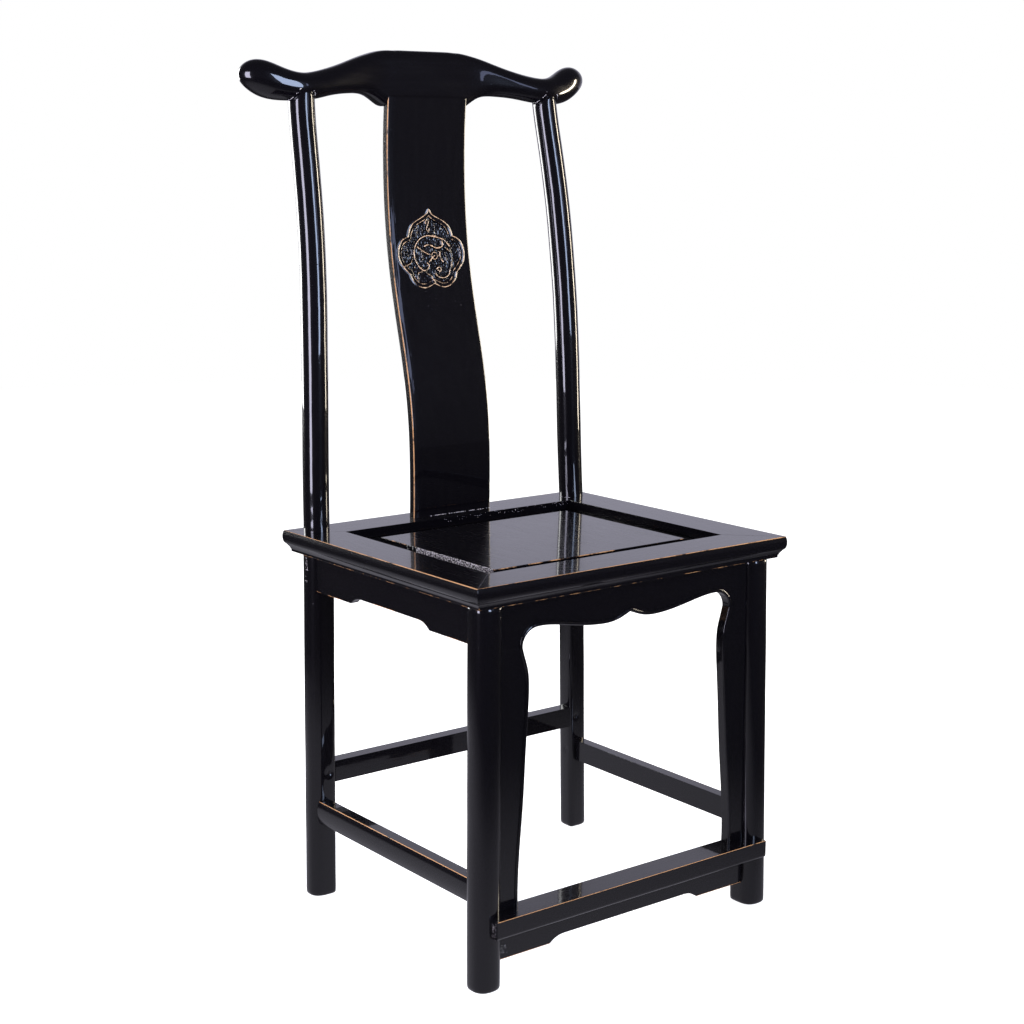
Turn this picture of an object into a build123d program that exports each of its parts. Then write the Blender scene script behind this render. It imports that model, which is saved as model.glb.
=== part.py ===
from build123d import *
from math import copysign, cos, pi, sin
import os

# Yoke-back side chair in lacquered elm, put together with mortise and tenon joints.
# +Z is up, the chair faces -Y, and the floor is Z = 0. Sizes are in millimetres.

os.makedirs("parts", exist_ok=True)

# ---------------------------------------------------------------- driving dimensions

# Seat frame: four mitred rails around a panel
seat_width = 498.0
seat_depth = 434.0
seat_height = 500.0
rail_width = 60.5
rail_thickness = 28.0
edge_bulge = 1.5
edge_cove_top = 16.0
edge_cove_radius = 9.0
edge_fillet_height = 3.0
edge_undercut = 8.5

# Panel: a raised field inside a sunk margin, with a tongue all round
field_drop = 6.0
margin_drop = 13.0
margin_width = 33.0
tongue_thickness = 8.0
tongue_depth = 7.0

# Battens dovetailed across the underside of the panel
batten_spacing = 170.0
batten_width = 32.0
batten_thickness = 13.0
dovetail_height = 4.0
dovetail_flare = 3.0
batten_stub_depth = 10.0
batten_stub_thickness = 4.0
batten_stub_rise = 1.5

# Legs: square in section, with the three outward corners rounded
leg_inset_x = 33.8
leg_inset_y = 32.0
leg_splay_x = 6.9
leg_splay_y = 4.4
front_leg_size = 37.0
rear_leg_size = 34.0
leg_outer_radius = 15.0
leg_inner_radius = 3.0
foot_rounding = 1.5
leg_tenon_size = 18.0
leg_tenon_height = 15.0

# Back posts: the rear legs carried on above the seat as round posts
back_height = 622.0
post_diameter = 34.0
post_tenon_diameter = 19.0
post_tenon_rise = 10.0

# Crest rail
crest_width = 557.0
crest_height = 62.0
crest_thickness = 34.0
crest_lobe = 9.0
crest_neck = 34.4
crest_neck_drop = 48.5
crest_neck_forward = 0.7
crest_knob = 45.0

# Splat
splat_width = 128.0
splat_thickness = 11.2
splat_tenon_thickness = 7.0
splat_tenon_inset = 12.0
splat_tenon_shoulder = 1.0
splat_tenon_top = 18.0
splat_tenon_bottom = 14.0

# Aprons under the seat
apron_thickness = 12.0
front_apron_setback = 22.0
side_apron_setback = 7.5
side_apron_depth = 50.0
side_apron_rise = 9.0
apron_step_inset = 80.0
apron_step_run = 23.0
tongue_board_thickness = 5.0
tongue_board_depth = 6.0
tongue_board_shoulder = 3.0
opening_joint_drop = 58.0

# Footrest and the board under it
footrest_top = 92.5
footrest_height = 24.0
footrest_depth = 38.0
footrest_proud = 12.0
footrest_past_leg = 1.5
footrest_rounding = 5.0
footrest_tenon_height = 12.0
footrest_tenon_width = 16.0
footrest_tenon_inset = 2.0
footrest_apron_depth = 38.0
footrest_apron_rise = 8.5

# Stretchers
side_stretcher_top = 134.2
side_stretcher_height = 30.5
side_stretcher_thickness = 19.0
side_stretcher_outward = 2.2
side_stretcher_bulge = 3.0
rear_stretcher_top = 186.0
rear_stretcher_height = 29.0
rear_stretcher_thickness = 20.0
rear_stretcher_forward = 6.0
stretcher_tenon_thickness = 9.0
stretcher_tenon_shoulder = 4.0
tenon_depth = 20.0

# Mitre joints of the seat frame
mitre_tenon_width = 9.0
mitre_tenon_thickness = 7.5
mitre_tenon_cover = 4.5
mitre_tenon_length = 36.0
mitre_tenon_inset = 1.5

# Pegs that lock the tenons
peg_diameter = 5.0
peg_cover = 4.0
crest_peg_sink = 0.6
frame_peg_place = 24.0

# Clearances
tenon_clearance = 0.2
end_clearance = 1.0
peg_clearance = 0.05

# Centre line of a back post, seat to crest rail: (share of its height, inward, backward)
post_curve = [
    (0.0, 0.0, 0.0),
    (0.25, 3.3, 3.6),
    (0.47, 6.7, 6.9),
    (0.60, 9.4, 12.0),
    (0.73, 11.6, 20.6),
    (0.82, 13.2, 29.0),
    (0.91, 15.2, 39.0),
    (1.0, 17.6, 45.5),
]

# The S of the splat: (share of its height, backward)
splat_curve = [
    (0.0, 0.0),
    (0.143, -1.2),
    (0.286, 4.8),
    (0.429, 21.8),
    (0.571, 40.6),
    (0.714, 52.0),
    (0.857, 55.0),
    (1.0, 50.8),
]

# Side boards of the front opening: (share of their height, width beside the leg)
bracket_curve = [
    (0.0, 27.9),
    (0.23, 29.7),
    (0.42, 34.3),
    (0.57, 36.6),
    (0.72, 39.3),
    (0.85, 41.0),
    (0.92, 38.6),
    (0.96, 34.6),
    (1.0, 30.7),
]

# Lower edge of the front apron beside the leg: (from the leg, below the seat frame)
corner_curve = [
    (34.6, 45.0),
    (44.6, 37.2),
    (57.6, 35.4),
    (86.6, 38.5),
]

# The same edge towards its middle cusp: (from the middle, below the seat frame)
cusp_curve = [
    (77.0, 44.6),
    (50.0, 47.6),
    (23.0, 46.4),
    (4.6, 40.3),
    (0.0, 38.3),
]

# Sections of the crest rail, from the end of its straight middle block to its tip.
# place: 0 at the middle, 1 over the post, 2 at the end
# back: 0 over the post, 1 at the middle block
# power: 2 is an ellipse, more is squarer
# (place, top below the crest, bottom below the crest, thickness, back, power)
neck_axis = crest_neck_drop
crest_sections = [
    (0.28, 0.005 * crest_height, crest_height + crest_lobe, crest_thickness, 1.0, 4.5),
    (0.35, 0.05 * crest_height, crest_height + crest_lobe, crest_thickness, 1.0, 4.2),
    (0.43, 0.11 * crest_height, crest_height, crest_thickness, 0.94, 3.6),
    (0.52, 0.185 * crest_height, 0.93 * crest_height, crest_thickness, 0.8, 2.8),
    (0.67, neck_axis - 0.83 * crest_neck, neck_axis + 0.29 * crest_neck, crest_neck, 0.5, 2.3),
    (0.83, neck_axis - 0.61 * crest_neck, neck_axis + 0.41 * crest_neck, crest_neck, 0.2, 2.0),
    (1.0, neck_axis - 0.5 * crest_neck, neck_axis + 0.5 * crest_neck, crest_neck, 0.0, 2.0),
    (1.28, neck_axis - 0.51 * crest_knob, neck_axis + 0.40 * crest_knob, 0.88 * crest_knob, 0.3, 2.0),
    (1.52, neck_axis - 0.68 * crest_knob, neck_axis + 0.36 * crest_knob, crest_knob, 0.65, 2.0),
    (1.72, neck_axis - 0.73 * crest_knob, neck_axis + 0.23 * crest_knob, 0.97 * crest_knob, 0.87, 2.0),
    (1.88, neck_axis - 0.63 * crest_knob, neck_axis + 0.03 * crest_knob, 0.70 * crest_knob, 0.98, 2.0),
    (1.97, neck_axis - 0.47 * crest_knob, neck_axis - 0.14 * crest_knob, 0.33 * crest_knob, 1.0, 2.0),
    (2.0, neck_axis - 0.38 * crest_knob, neck_axis - 0.23 * crest_knob, 0.14 * crest_knob, 1.0, 2.0),
]
crest_section_points = 20
post_rings = 12

# ---------------------------------------------------------------- places worked out from them

half_width = seat_width / 2
half_depth = seat_depth / 2
frame_bottom = seat_height - rail_thickness
crest_top = seat_height + back_height
neck_height = crest_top - crest_neck_drop
splat_top = crest_top - crest_height
footrest_bottom = footrest_top - footrest_height

# How far the chair reaches in front of and behind the middle of the seat
splay_at_footrest = leg_splay_y * (1 - footrest_top / seat_height)
front_reach = half_depth - leg_inset_y + splay_at_footrest + front_leg_size / 2 + footrest_proud
neck_reach = half_depth - leg_inset_y + post_curve[-1][2] - crest_neck_forward
splat_reach = half_depth - leg_inset_y + splat_curve[-1][1] - splat_thickness / 2
block_back = splat_reach + crest_thickness / 2 - neck_reach
crest_overhang = max(back * block_back + thickness / 2 for _, _, _, thickness, back, _ in crest_sections)
rear_reach = neck_reach + crest_overhang

# The origin is on the floor, halfway between the two
seat_y = (front_reach - rear_reach) / 2
front_edge = seat_y - half_depth
rear_edge = seat_y + half_depth
front_leg_top_y = front_edge + leg_inset_y
rear_leg_y = rear_edge - leg_inset_y
leg_top_x = half_width - leg_inset_x

recess_x = half_width - rail_width
recess_y = half_depth - rail_width
field_z = seat_height - field_drop
margin_z = seat_height - margin_drop
tongue_z = margin_z - tongue_thickness

neck_x = leg_top_x - post_curve[-1][1]
neck_y = rear_leg_y + post_curve[-1][2] - crest_neck_forward
post_top_y = rear_leg_y + post_curve[-1][2]
splat_front_top = rear_leg_y - splat_thickness / 2 + splat_curve[-1][1]

apron_front_y = front_edge + front_apron_setback
apron_joint_z = frame_bottom - opening_joint_drop
footrest_front = seat_y - front_reach
footrest_back = footrest_front + footrest_depth
footrest_apron_y = footrest_back - apron_thickness


def leg_x(z):
    """X of a right leg's centre line at a height."""
    return leg_top_x + leg_splay_x * (1 - z / seat_height)


def front_leg_y(z):
    """Y of a front leg's centre line at a height."""
    return front_leg_top_y - leg_splay_y * (1 - z / seat_height)


def inner_face(z):
    """X of the inner face of a right front leg at a height."""
    return leg_x(z) - front_leg_size / 2


# ---------------------------------------------------------------- shapes that several pieces share


def block(x, y, z, mode=Mode.ADD):
    """A tenon, or with Mode.SUBTRACT its mortise, between pairs of limits."""
    middle = ((x[0] + x[1]) / 2, (y[0] + y[1]) / 2, (z[0] + z[1]) / 2)
    with Locations(middle):
        Box(abs(x[1] - x[0]), abs(y[1] - y[0]), abs(z[1] - z[0]), mode=mode)


def mortise(x, y, z, ends):
    """The hole for a tenon: a little wider all round, and deeper along the axes named by ends."""
    limits = {"x": x, "y": y, "z": z}
    room = {axis: end_clearance if axis in ends else tenon_clearance for axis in "xyz"}
    opened = {axis: (min(limits[axis]) - room[axis], max(limits[axis]) + room[axis]) for axis in "xyz"}
    block(opened["x"], opened["y"], opened["z"], mode=Mode.SUBTRACT)


def peg(start, end, diameter, mode=Mode.ADD):
    """A round peg, or its hole, from one point to another."""
    line = Vector(end) - Vector(start)
    with Locations(Plane(origin=start, z_dir=line)):
        Cylinder(diameter / 2, line.length, align=(Align.CENTER, Align.CENTER, Align.MIN), mode=mode)


def peg_hole(start, end):
    """The hole for a peg, which opens at the peg's start."""
    outward = (Vector(start) - Vector(end)).normalized() * peg_cover
    peg(Vector(start) + outward, end, peg_diameter + 2 * peg_clearance, mode=Mode.SUBTRACT)


def leg_section(plane, size, side, end):
    """A square with one sharp corner towards the middle of the chair and three round ones."""
    with BuildSketch(plane) as section:
        Rectangle(size, size)
        corners = section.vertices().sort_by(lambda corner: side * corner.X + end * corner.Y)
        fillet(corners[1:], leg_outer_radius)
        sharp = section.vertices().sort_by(lambda corner: side * corner.X + end * corner.Y)[0]
        fillet(sharp, leg_inner_radius)
    return section.sketch


def rail_section(plane):
    """The moulded edge of the seat frame; the plane's X points inward and its Y points up."""
    with BuildSketch(plane) as section:
        with BuildLine():
            band_bottom = seat_height - edge_cove_top
            fillet_top = frame_bottom + edge_fillet_height
            band_middle = (0, (seat_height + band_bottom) / 2)
            ThreePointArc((edge_bulge, seat_height), band_middle, (edge_bulge, band_bottom))
            RadiusArc((edge_bulge, band_bottom), (edge_undercut, fillet_top), edge_cove_radius)
            Polyline(
                (edge_undercut, fillet_top),
                (edge_undercut, frame_bottom),
                (rail_width, frame_bottom),
                (rail_width, seat_height),
                (edge_bulge, seat_height),
            )
        make_face()
    return section.sketch


def stepped_board(plane, half_span, past, depth, rise):
    """The outline of a board whose lower edge steps up between its ends; the plane's Y points up."""
    foot = half_span - apron_step_inset
    top = foot - apron_step_run
    with BuildSketch(plane) as outline:
        with BuildLine() as edge:
            Line((0, 0), (half_span + past, 0))
            Line((half_span + past, 0), (half_span + past, -depth))
            Line((half_span + past, -depth), (foot, -depth))
            Spline((foot, -depth), (top, rise - depth), tangents=[(-1, 0.9), (-1, 0)])
            Line((top, rise - depth), (0, rise - depth))
            mirror(edge.line, about=Plane.YZ)
        make_face()
    return outline.sketch


def dovetail_section(plane):
    """The dovetail on top of a batten."""
    foot = batten_width / 2 - dovetail_flare
    with BuildSketch(plane) as section:
        with BuildLine():
            Polyline(
                (-foot, 0),
                (foot, 0),
                (batten_width / 2, dovetail_height),
                (-batten_width / 2, dovetail_height),
                close=True,
            )
        make_face()
    return section.sketch


def crest_section(place, top, bottom, thickness, back, power):
    """One closed section across the crest rail."""
    reach = place * neck_x if place <= 1 else neck_x + (place - 1) * (crest_width / 2 - neck_x)
    middle = (reach, neck_y + back * block_back, crest_top - (top + bottom) / 2)
    rim = []
    for step in range(crest_section_points):
        turn = 2 * pi * step / crest_section_points
        across = copysign(abs(cos(turn)) ** (2 / power), cos(turn)) * thickness / 2
        up = copysign(abs(sin(turn)) ** (2 / power), sin(turn)) * (bottom - top) / 2
        rim.append((across, up))
    with BuildSketch(Plane(origin=middle, x_dir=(0, 1, 0), z_dir=(1, 0, 0))) as section:
        with BuildLine():
            Spline(*rim, periodic=True)
        make_face()
    return section.sketch


# ---------------------------------------------------------------- limits of the tenons

leg_tenon_half = leg_tenon_size / 2
mitre_tenon_z = (
    seat_height - mitre_tenon_cover - mitre_tenon_thickness,
    seat_height - mitre_tenon_cover,
)
board_tongue = tongue_board_thickness / 2
stretcher_tenon = stretcher_tenon_thickness / 2


def leg_tenon(side):
    """The tenon on top of a front leg."""
    x = side * leg_x(frame_bottom)
    y = front_leg_y(frame_bottom)
    return (
        (x - leg_tenon_half, x + leg_tenon_half),
        (y - leg_tenon_half, y + leg_tenon_half),
        (frame_bottom, frame_bottom + leg_tenon_height),
    )


def mitre_tenon(side, end):
    """The tenon of a front or rear rail that crosses the mitre into a side rail."""
    near = recess_y + mitre_tenon_inset
    return (
        (side * (recess_x - mitre_tenon_inset), side * (recess_x + mitre_tenon_length)),
        (seat_y + end * near, seat_y + end * (near + mitre_tenon_width)),
        mitre_tenon_z,
    )


def frame_peg(side, end):
    """The peg that goes up through a side rail and a mitre tenon."""
    x = side * (recess_x + frame_peg_place)
    y = seat_y + end * (recess_y + mitre_tenon_inset + mitre_tenon_width / 2)
    return (x, y, frame_bottom), (x, y, seat_height - peg_cover)


def batten_stub(x):
    """The stubs at both ends of a batten, as one bar."""
    foot = frame_bottom + batten_stub_rise
    return (
        (x - batten_width / 2 + dovetail_flare, x + batten_width / 2 - dovetail_flare),
        (seat_y - recess_y - batten_stub_depth, seat_y + recess_y + batten_stub_depth),
        (foot, foot + batten_stub_thickness),
    )


def panel_tongue():
    """The tongue round the panel, as one plate."""
    return (
        (-recess_x - tongue_depth, recess_x + tongue_depth),
        (seat_y - recess_y - tongue_depth, seat_y + recess_y + tongue_depth),
        (tongue_z, margin_z),
    )


# Front apron, its side boards and the board under the footrest run between the front legs
front_board_y = apron_front_y + apron_thickness / 2
footrest_board_y = footrest_apron_y + apron_thickness / 2
footrest_apron_tongue = (
    (-inner_face(footrest_bottom) - tongue_board_depth, inner_face(footrest_bottom) + tongue_board_depth),
    (footrest_board_y - board_tongue, footrest_board_y + board_tongue),
    (
        footrest_bottom - footrest_apron_depth + footrest_apron_rise + tongue_board_shoulder,
        footrest_bottom - tongue_board_shoulder,
    ),
)


def front_apron_tongue(side):
    """The tongue of the front apron in a leg's groove."""
    root = inner_face(apron_joint_z) - tongue_board_depth
    tip = inner_face(apron_joint_z) + tongue_board_depth
    return (
        (side * root, side * tip),
        (front_board_y - board_tongue, front_board_y + board_tongue),
        (apron_joint_z + tongue_board_shoulder, frame_bottom - tongue_board_shoulder),
    )


def bracket_tongue(side):
    """The tongue of a side board in its leg's groove."""
    root = inner_face(apron_joint_z) - tongue_board_depth
    tip = inner_face(apron_joint_z) + tongue_board_depth
    return (
        (side * root, side * tip),
        (front_board_y - board_tongue, front_board_y + board_tongue),
        (footrest_top + tongue_board_shoulder, apron_joint_z - tongue_board_shoulder),
    )


# The side aprons and stretchers run between a front and a rear leg
side_gap_front = front_leg_y(frame_bottom) + front_leg_size / 2
side_gap_rear = rear_leg_y - rear_leg_size / 2
side_apron_x = leg_top_x + front_leg_size / 2 - side_apron_setback
side_board_x = side_apron_x - apron_thickness / 2
side_tongue_z = (
    frame_bottom - side_apron_depth + side_apron_rise + tongue_board_shoulder,
    frame_bottom - tongue_board_shoulder,
)
side_stretcher_z = side_stretcher_top - side_stretcher_height / 2
side_stretcher_x = leg_x(side_stretcher_z) + side_stretcher_outward
stretcher_gap_front = front_leg_y(side_stretcher_z) + front_leg_size / 2


def side_apron_tongue(side):
    """The tongues at both ends of a side apron, as one bar."""
    return (
        (side * (side_board_x - board_tongue), side * (side_board_x + board_tongue)),
        (side_gap_front - tongue_board_depth, side_gap_rear + tongue_board_depth),
        side_tongue_z,
    )


def side_stretcher_tenon(side):
    """The tenons at both ends of a side stretcher, as one bar."""
    return (
        (side * (side_stretcher_x - stretcher_tenon), side * (side_stretcher_x + stretcher_tenon)),
        (stretcher_gap_front - tenon_depth, side_gap_rear + tenon_depth),
        (
            side_stretcher_top - side_stretcher_height + stretcher_tenon_shoulder,
            side_stretcher_top - stretcher_tenon_shoulder,
        ),
    )


# The rear apron and stretcher run between the rear legs
rear_apron_y = rear_leg_y + rear_leg_size / 2 - side_apron_setback
rear_board_y = rear_apron_y - apron_thickness / 2
rear_gap_x = leg_x(frame_bottom) - rear_leg_size / 2
rear_apron_tongue = (
    (-rear_gap_x - tongue_board_depth, rear_gap_x + tongue_board_depth),
    (rear_board_y - board_tongue, rear_board_y + board_tongue),
    side_tongue_z,
)
rear_stretcher_y = rear_leg_y - rear_stretcher_forward
rear_stretcher_z = rear_stretcher_top - rear_stretcher_height / 2
rear_stretcher_gap = leg_x(rear_stretcher_z) - rear_leg_size / 2
rear_stretcher_tenon = (
    (-rear_stretcher_gap - tenon_depth, rear_stretcher_gap + tenon_depth),
    (rear_stretcher_y - stretcher_tenon, rear_stretcher_y + stretcher_tenon),
    (
        rear_stretcher_top - rear_stretcher_height + stretcher_tenon_shoulder,
        rear_stretcher_top - stretcher_tenon_shoulder,
    ),
)

# The footrest's tenons, as one bar
footrest_z = footrest_top - footrest_height / 2
footrest_tenon_back = footrest_back - footrest_tenon_inset
footrest_tenon = (
    (-inner_face(footrest_z) - tenon_depth, inner_face(footrest_z) + tenon_depth),
    (footrest_tenon_back - footrest_tenon_width, footrest_tenon_back),
    (footrest_z - footrest_tenon_height / 2, footrest_z + footrest_tenon_height / 2),
)

# The splat's tenons
splat_tenon_x = (-splat_width / 2 + splat_tenon_inset, splat_width / 2 - splat_tenon_inset)
splat_foot_tenon = (
    splat_tenon_x,
    (rear_leg_y - splat_tenon_thickness / 2, rear_leg_y + splat_tenon_thickness / 2),
    (seat_height - splat_tenon_bottom, seat_height + splat_tenon_shoulder),
)
splat_back_top = splat_front_top + splat_thickness
splat_head_tenon = (
    splat_tenon_x,
    (splat_back_top - splat_tenon_shoulder - splat_tenon_thickness, splat_back_top - splat_tenon_shoulder),
    (splat_top - splat_tenon_shoulder, splat_top + splat_tenon_top),
)


def post_tenon(side):
    """The axis of the round tenon on a back post."""
    foot = (side * neck_x, post_top_y, neck_height - crest_neck)
    head = (side * neck_x, post_top_y, neck_height + post_tenon_rise)
    return foot, head


# Pegs, each from where it is driven in to its blind end


def front_leg_pegs(side):
    """The pegs through the footrest's tenon and the side stretcher's tenon in a front leg."""
    footrest_peg_x = side * (inner_face(footrest_z) + tenon_depth / 2)
    behind_leg = front_leg_y(footrest_z) + front_leg_size / 2
    stretcher_peg_y = stretcher_gap_front - tenon_depth / 2
    beside_leg = side * inner_face(side_stretcher_z)
    tenon_side = side * (side_stretcher_x + stretcher_tenon)
    return [
        ((footrest_peg_x, behind_leg, footrest_z), (footrest_peg_x, footrest_tenon[1][0], footrest_z)),
        ((beside_leg, stretcher_peg_y, side_stretcher_z), (tenon_side, stretcher_peg_y, side_stretcher_z)),
    ]


def rear_leg_pegs(side):
    """The pegs through the side stretcher's tenon and the rear stretcher's tenon in a rear leg."""
    stretcher_peg_y = side_gap_rear + tenon_depth / 2
    beside_leg = side * (leg_x(side_stretcher_z) - rear_leg_size / 2)
    tenon_side = side * (side_stretcher_x + stretcher_tenon)
    rear_peg_x = side * (rear_stretcher_gap + tenon_depth / 2)
    tenon_back = rear_stretcher_y + stretcher_tenon
    return [
        ((beside_leg, stretcher_peg_y, side_stretcher_z), (tenon_side, stretcher_peg_y, side_stretcher_z)),
        ((rear_peg_x, side_gap_rear, rear_stretcher_z), (rear_peg_x, tenon_back, rear_stretcher_z)),
    ]


def crest_peg(side):
    """The peg from behind the crest rail into a post's tenon."""
    behind = neck_y + crest_neck / 2 - crest_peg_sink
    blind_end = post_top_y - post_tenon_diameter / 4
    return (side * neck_x, behind, neck_height), (side * neck_x, blind_end, neck_height)


# ---------------------------------------------------------------- whole shapes before their joints are cut

with BuildPart() as crest_blank:
    loft([crest_section(*values) for values in crest_sections])
    mirror(about=Plane.YZ)
    block_end = crest_section(*crest_sections[0])
    extrude(block_end, amount=-2 * crest_sections[0][0] * neck_x)

with BuildPart() as splat_blank:
    with BuildSketch(Plane.YZ) as splat_side:
        with BuildLine():
            front_foot = rear_leg_y - splat_thickness / 2
            splat_length = splat_top - seat_height
            front = [(front_foot + y, seat_height + z * splat_length) for z, y in splat_curve]
            back = [(y + splat_thickness, z) for y, z in front]
            Spline(*front)
            Line(front[-1], back[-1])
            Spline(*reversed(back))
            Line(back[0], front[0])
        make_face()
    extrude(amount=splat_width / 2, both=True)

leg_blanks = {}
for side, hand in ((-1, "left"), (1, "right")):
    with BuildPart() as front_blank:
        foot_plane = Plane(origin=(side * leg_x(0), front_leg_y(0), 0))
        inward = side * (leg_x(frame_bottom) - leg_x(0))
        rise = Vector(inward, front_leg_y(frame_bottom) - front_leg_y(0), frame_bottom)
        extrude(leg_section(foot_plane, front_leg_size, side, -1), amount=rise.length, dir=rise)
        fillet(front_blank.faces().sort_by(Axis.Z)[0].edges(), foot_rounding)
    leg_blanks["front", hand] = front_blank.part
    with BuildPart() as rear_blank:
        foot_plane = Plane(origin=(side * leg_x(0), rear_leg_y, 0))
        rise = Vector(side * (leg_x(frame_bottom) - leg_x(0)), 0, frame_bottom)
        extrude(leg_section(foot_plane, rear_leg_size, side, 1), amount=rise.length, dir=rise)
        fillet(rear_blank.faces().sort_by(Axis.Z)[0].edges(), foot_rounding)
    leg_blanks["rear", hand] = rear_blank.part


def cut_legs(*places):
    """Scribe the open piece to the legs that it meets."""
    for place in places:
        add(leg_blanks[place], mode=Mode.SUBTRACT)


def finish(piece, name):
    """Label a piece and write it."""
    piece.label = name
    export_step(piece, f"parts/{name}.step")


# ---------------------------------------------------------------- seat panel and battens

batten_places = {"left": -batten_spacing / 2, "right": batten_spacing / 2}

with BuildPart() as seat_panel:
    block(*panel_tongue())
    field_x = recess_x - margin_width
    field_y = recess_y - margin_width
    block((-field_x, field_x), (seat_y - field_y, seat_y + field_y), (tongue_z, field_z))
    for x in batten_places.values():
        groove_end = (x, seat_y + recess_y + tongue_depth, tongue_z)
        back_plane = Plane(origin=groove_end, x_dir=(1, 0, 0), z_dir=(0, -1, 0))
        extrude(dovetail_section(back_plane), amount=2 * (recess_y + tongue_depth), mode=Mode.SUBTRACT)
finish(seat_panel.part, "seat_panel")

for hand, x in batten_places.items():
    with BuildPart() as seat_batten:
        block(
            (x - batten_width / 2, x + batten_width / 2),
            (seat_y - recess_y, seat_y + recess_y),
            (tongue_z - batten_thickness, tongue_z),
        )
        back_plane = Plane(origin=(x, seat_y + recess_y, tongue_z), x_dir=(1, 0, 0), z_dir=(0, -1, 0))
        extrude(dovetail_section(back_plane), amount=2 * recess_y)
        block(*batten_stub(x))
    finish(seat_batten.part, f"seat_batten_{hand}")

# ---------------------------------------------------------------- seat rails

rail_planes = {
    "front": Plane(origin=(-half_width, front_edge, 0), x_dir=(0, 1, 0), z_dir=(1, 0, 0)),
    "rear": Plane(origin=(half_width, rear_edge, 0), x_dir=(0, -1, 0), z_dir=(-1, 0, 0)),
    "left": Plane(origin=(-half_width, rear_edge, 0), x_dir=(1, 0, 0), z_dir=(0, -1, 0)),
    "right": Plane(origin=(half_width, front_edge, 0), x_dir=(-1, 0, 0), z_dir=(0, 1, 0)),
}
rail_lengths = {"front": seat_width, "rear": seat_width, "left": seat_depth, "right": seat_depth}

for name, plane in rail_planes.items():
    with BuildPart() as rail:
        extrude(rail_section(plane), amount=rail_lengths[name])
        far_end = plane.origin + plane.z_dir * rail_lengths[name]
        split(bisect_by=Plane(origin=plane.origin, z_dir=plane.z_dir - plane.x_dir))
        split(bisect_by=Plane(origin=far_end, z_dir=-plane.z_dir - plane.x_dir))
        if name in ("front", "rear"):
            end = -1 if name == "front" else 1
            for side in (-1, 1):
                block(*mitre_tenon(side, end))
        else:
            side = -1 if name == "left" else 1
            for end in (-1, 1):
                mortise(*mitre_tenon(side, end), ends="x")
        mortise(*panel_tongue(), ends="xy")
        for x in batten_places.values():
            mortise(*batten_stub(x), ends="y")
        for side in (-1, 1):
            mortise(*leg_tenon(side), ends="z")
            post_foot = (side * leg_top_x, rear_leg_y, frame_bottom)
            post_head = (side * leg_top_x, rear_leg_y, seat_height)
            peg(post_foot, post_head, post_diameter + 2 * tenon_clearance, mode=Mode.SUBTRACT)
            for end in (-1, 1):
                peg_hole(*frame_peg(side, end))
        mortise(*splat_foot_tenon, ends="z")
    finish(rail.part, f"seat_rail_{name}")

# ---------------------------------------------------------------- boards and bars between the legs

with BuildPart() as front_apron:
    with BuildSketch(Plane.XZ.offset(-apron_front_y)):
        with BuildLine() as apron_edge:
            leg_face = inner_face(apron_joint_z)
            notch = (leg_face - bracket_curve[-1][1], apron_joint_z)
            beside_leg = [(leg_face - x, frame_bottom - z) for x, z in corner_curve]
            cusp = [(x, frame_bottom - z) for x, z in cusp_curve]
            Line((0, frame_bottom), (leg_x(frame_bottom), frame_bottom))
            Line((leg_x(frame_bottom), frame_bottom), (leg_x(frame_bottom), apron_joint_z))
            Line((leg_x(frame_bottom), apron_joint_z), notch)
            Spline(notch, *beside_leg, *cusp)
            mirror(apron_edge.line, about=Plane.YZ)
        make_face()
    extrude(amount=-apron_thickness)
    cut_legs(("front", "left"), ("front", "right"))
    for side in (-1, 1):
        block(*front_apron_tongue(side))
finish(front_apron.part, "front_apron")

for side, hand in ((-1, "left"), (1, "right")):
    with BuildPart() as front_bracket:
        with BuildSketch(Plane.XZ.offset(-apron_front_y)):
            with BuildLine():
                board_height = apron_joint_z - footrest_top
                inner_edge = []
                for share, width in bracket_curve:
                    z = footrest_top + share * board_height
                    inner_edge.append((side * (inner_face(z) - width), z))
                foot = (side * leg_x(footrest_top), footrest_top)
                head = (side * leg_x(footrest_top), apron_joint_z)
                Spline(*inner_edge)
                Polyline(inner_edge[-1], head, foot, inner_edge[0])
            make_face()
        extrude(amount=-apron_thickness)
        cut_legs(("front", hand))
        block(*bracket_tongue(side))
    finish(front_bracket.part, f"front_bracket_{hand}")

with BuildPart() as footrest_apron:
    board_plane = Plane(origin=(0, footrest_apron_y, footrest_bottom), x_dir=(1, 0, 0), z_dir=(0, -1, 0))
    half_span = inner_face(footrest_bottom)
    past = front_leg_size / 2
    board = stepped_board(board_plane, half_span, past, footrest_apron_depth, footrest_apron_rise)
    extrude(board, amount=-apron_thickness)
    cut_legs(("front", "left"), ("front", "right"))
    block(*footrest_apron_tongue)
finish(footrest_apron.part, "footrest_apron")

with BuildPart() as footrest:
    footrest_end = leg_x(footrest_z) + footrest_past_leg
    block((-footrest_end, footrest_end), (footrest_front, footrest_back), (footrest_bottom, footrest_top))
    front_edges = footrest.edges().filter_by(Axis.X).group_by(Axis.Y)[0]
    fillet(front_edges.sort_by(Axis.Z)[0], footrest_rounding)
    cut_legs(("front", "left"), ("front", "right"))
    block(*footrest_tenon)
    for side in (-1, 1):
        peg_hole(*front_leg_pegs(side)[0])
finish(footrest.part, "footrest")

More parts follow.
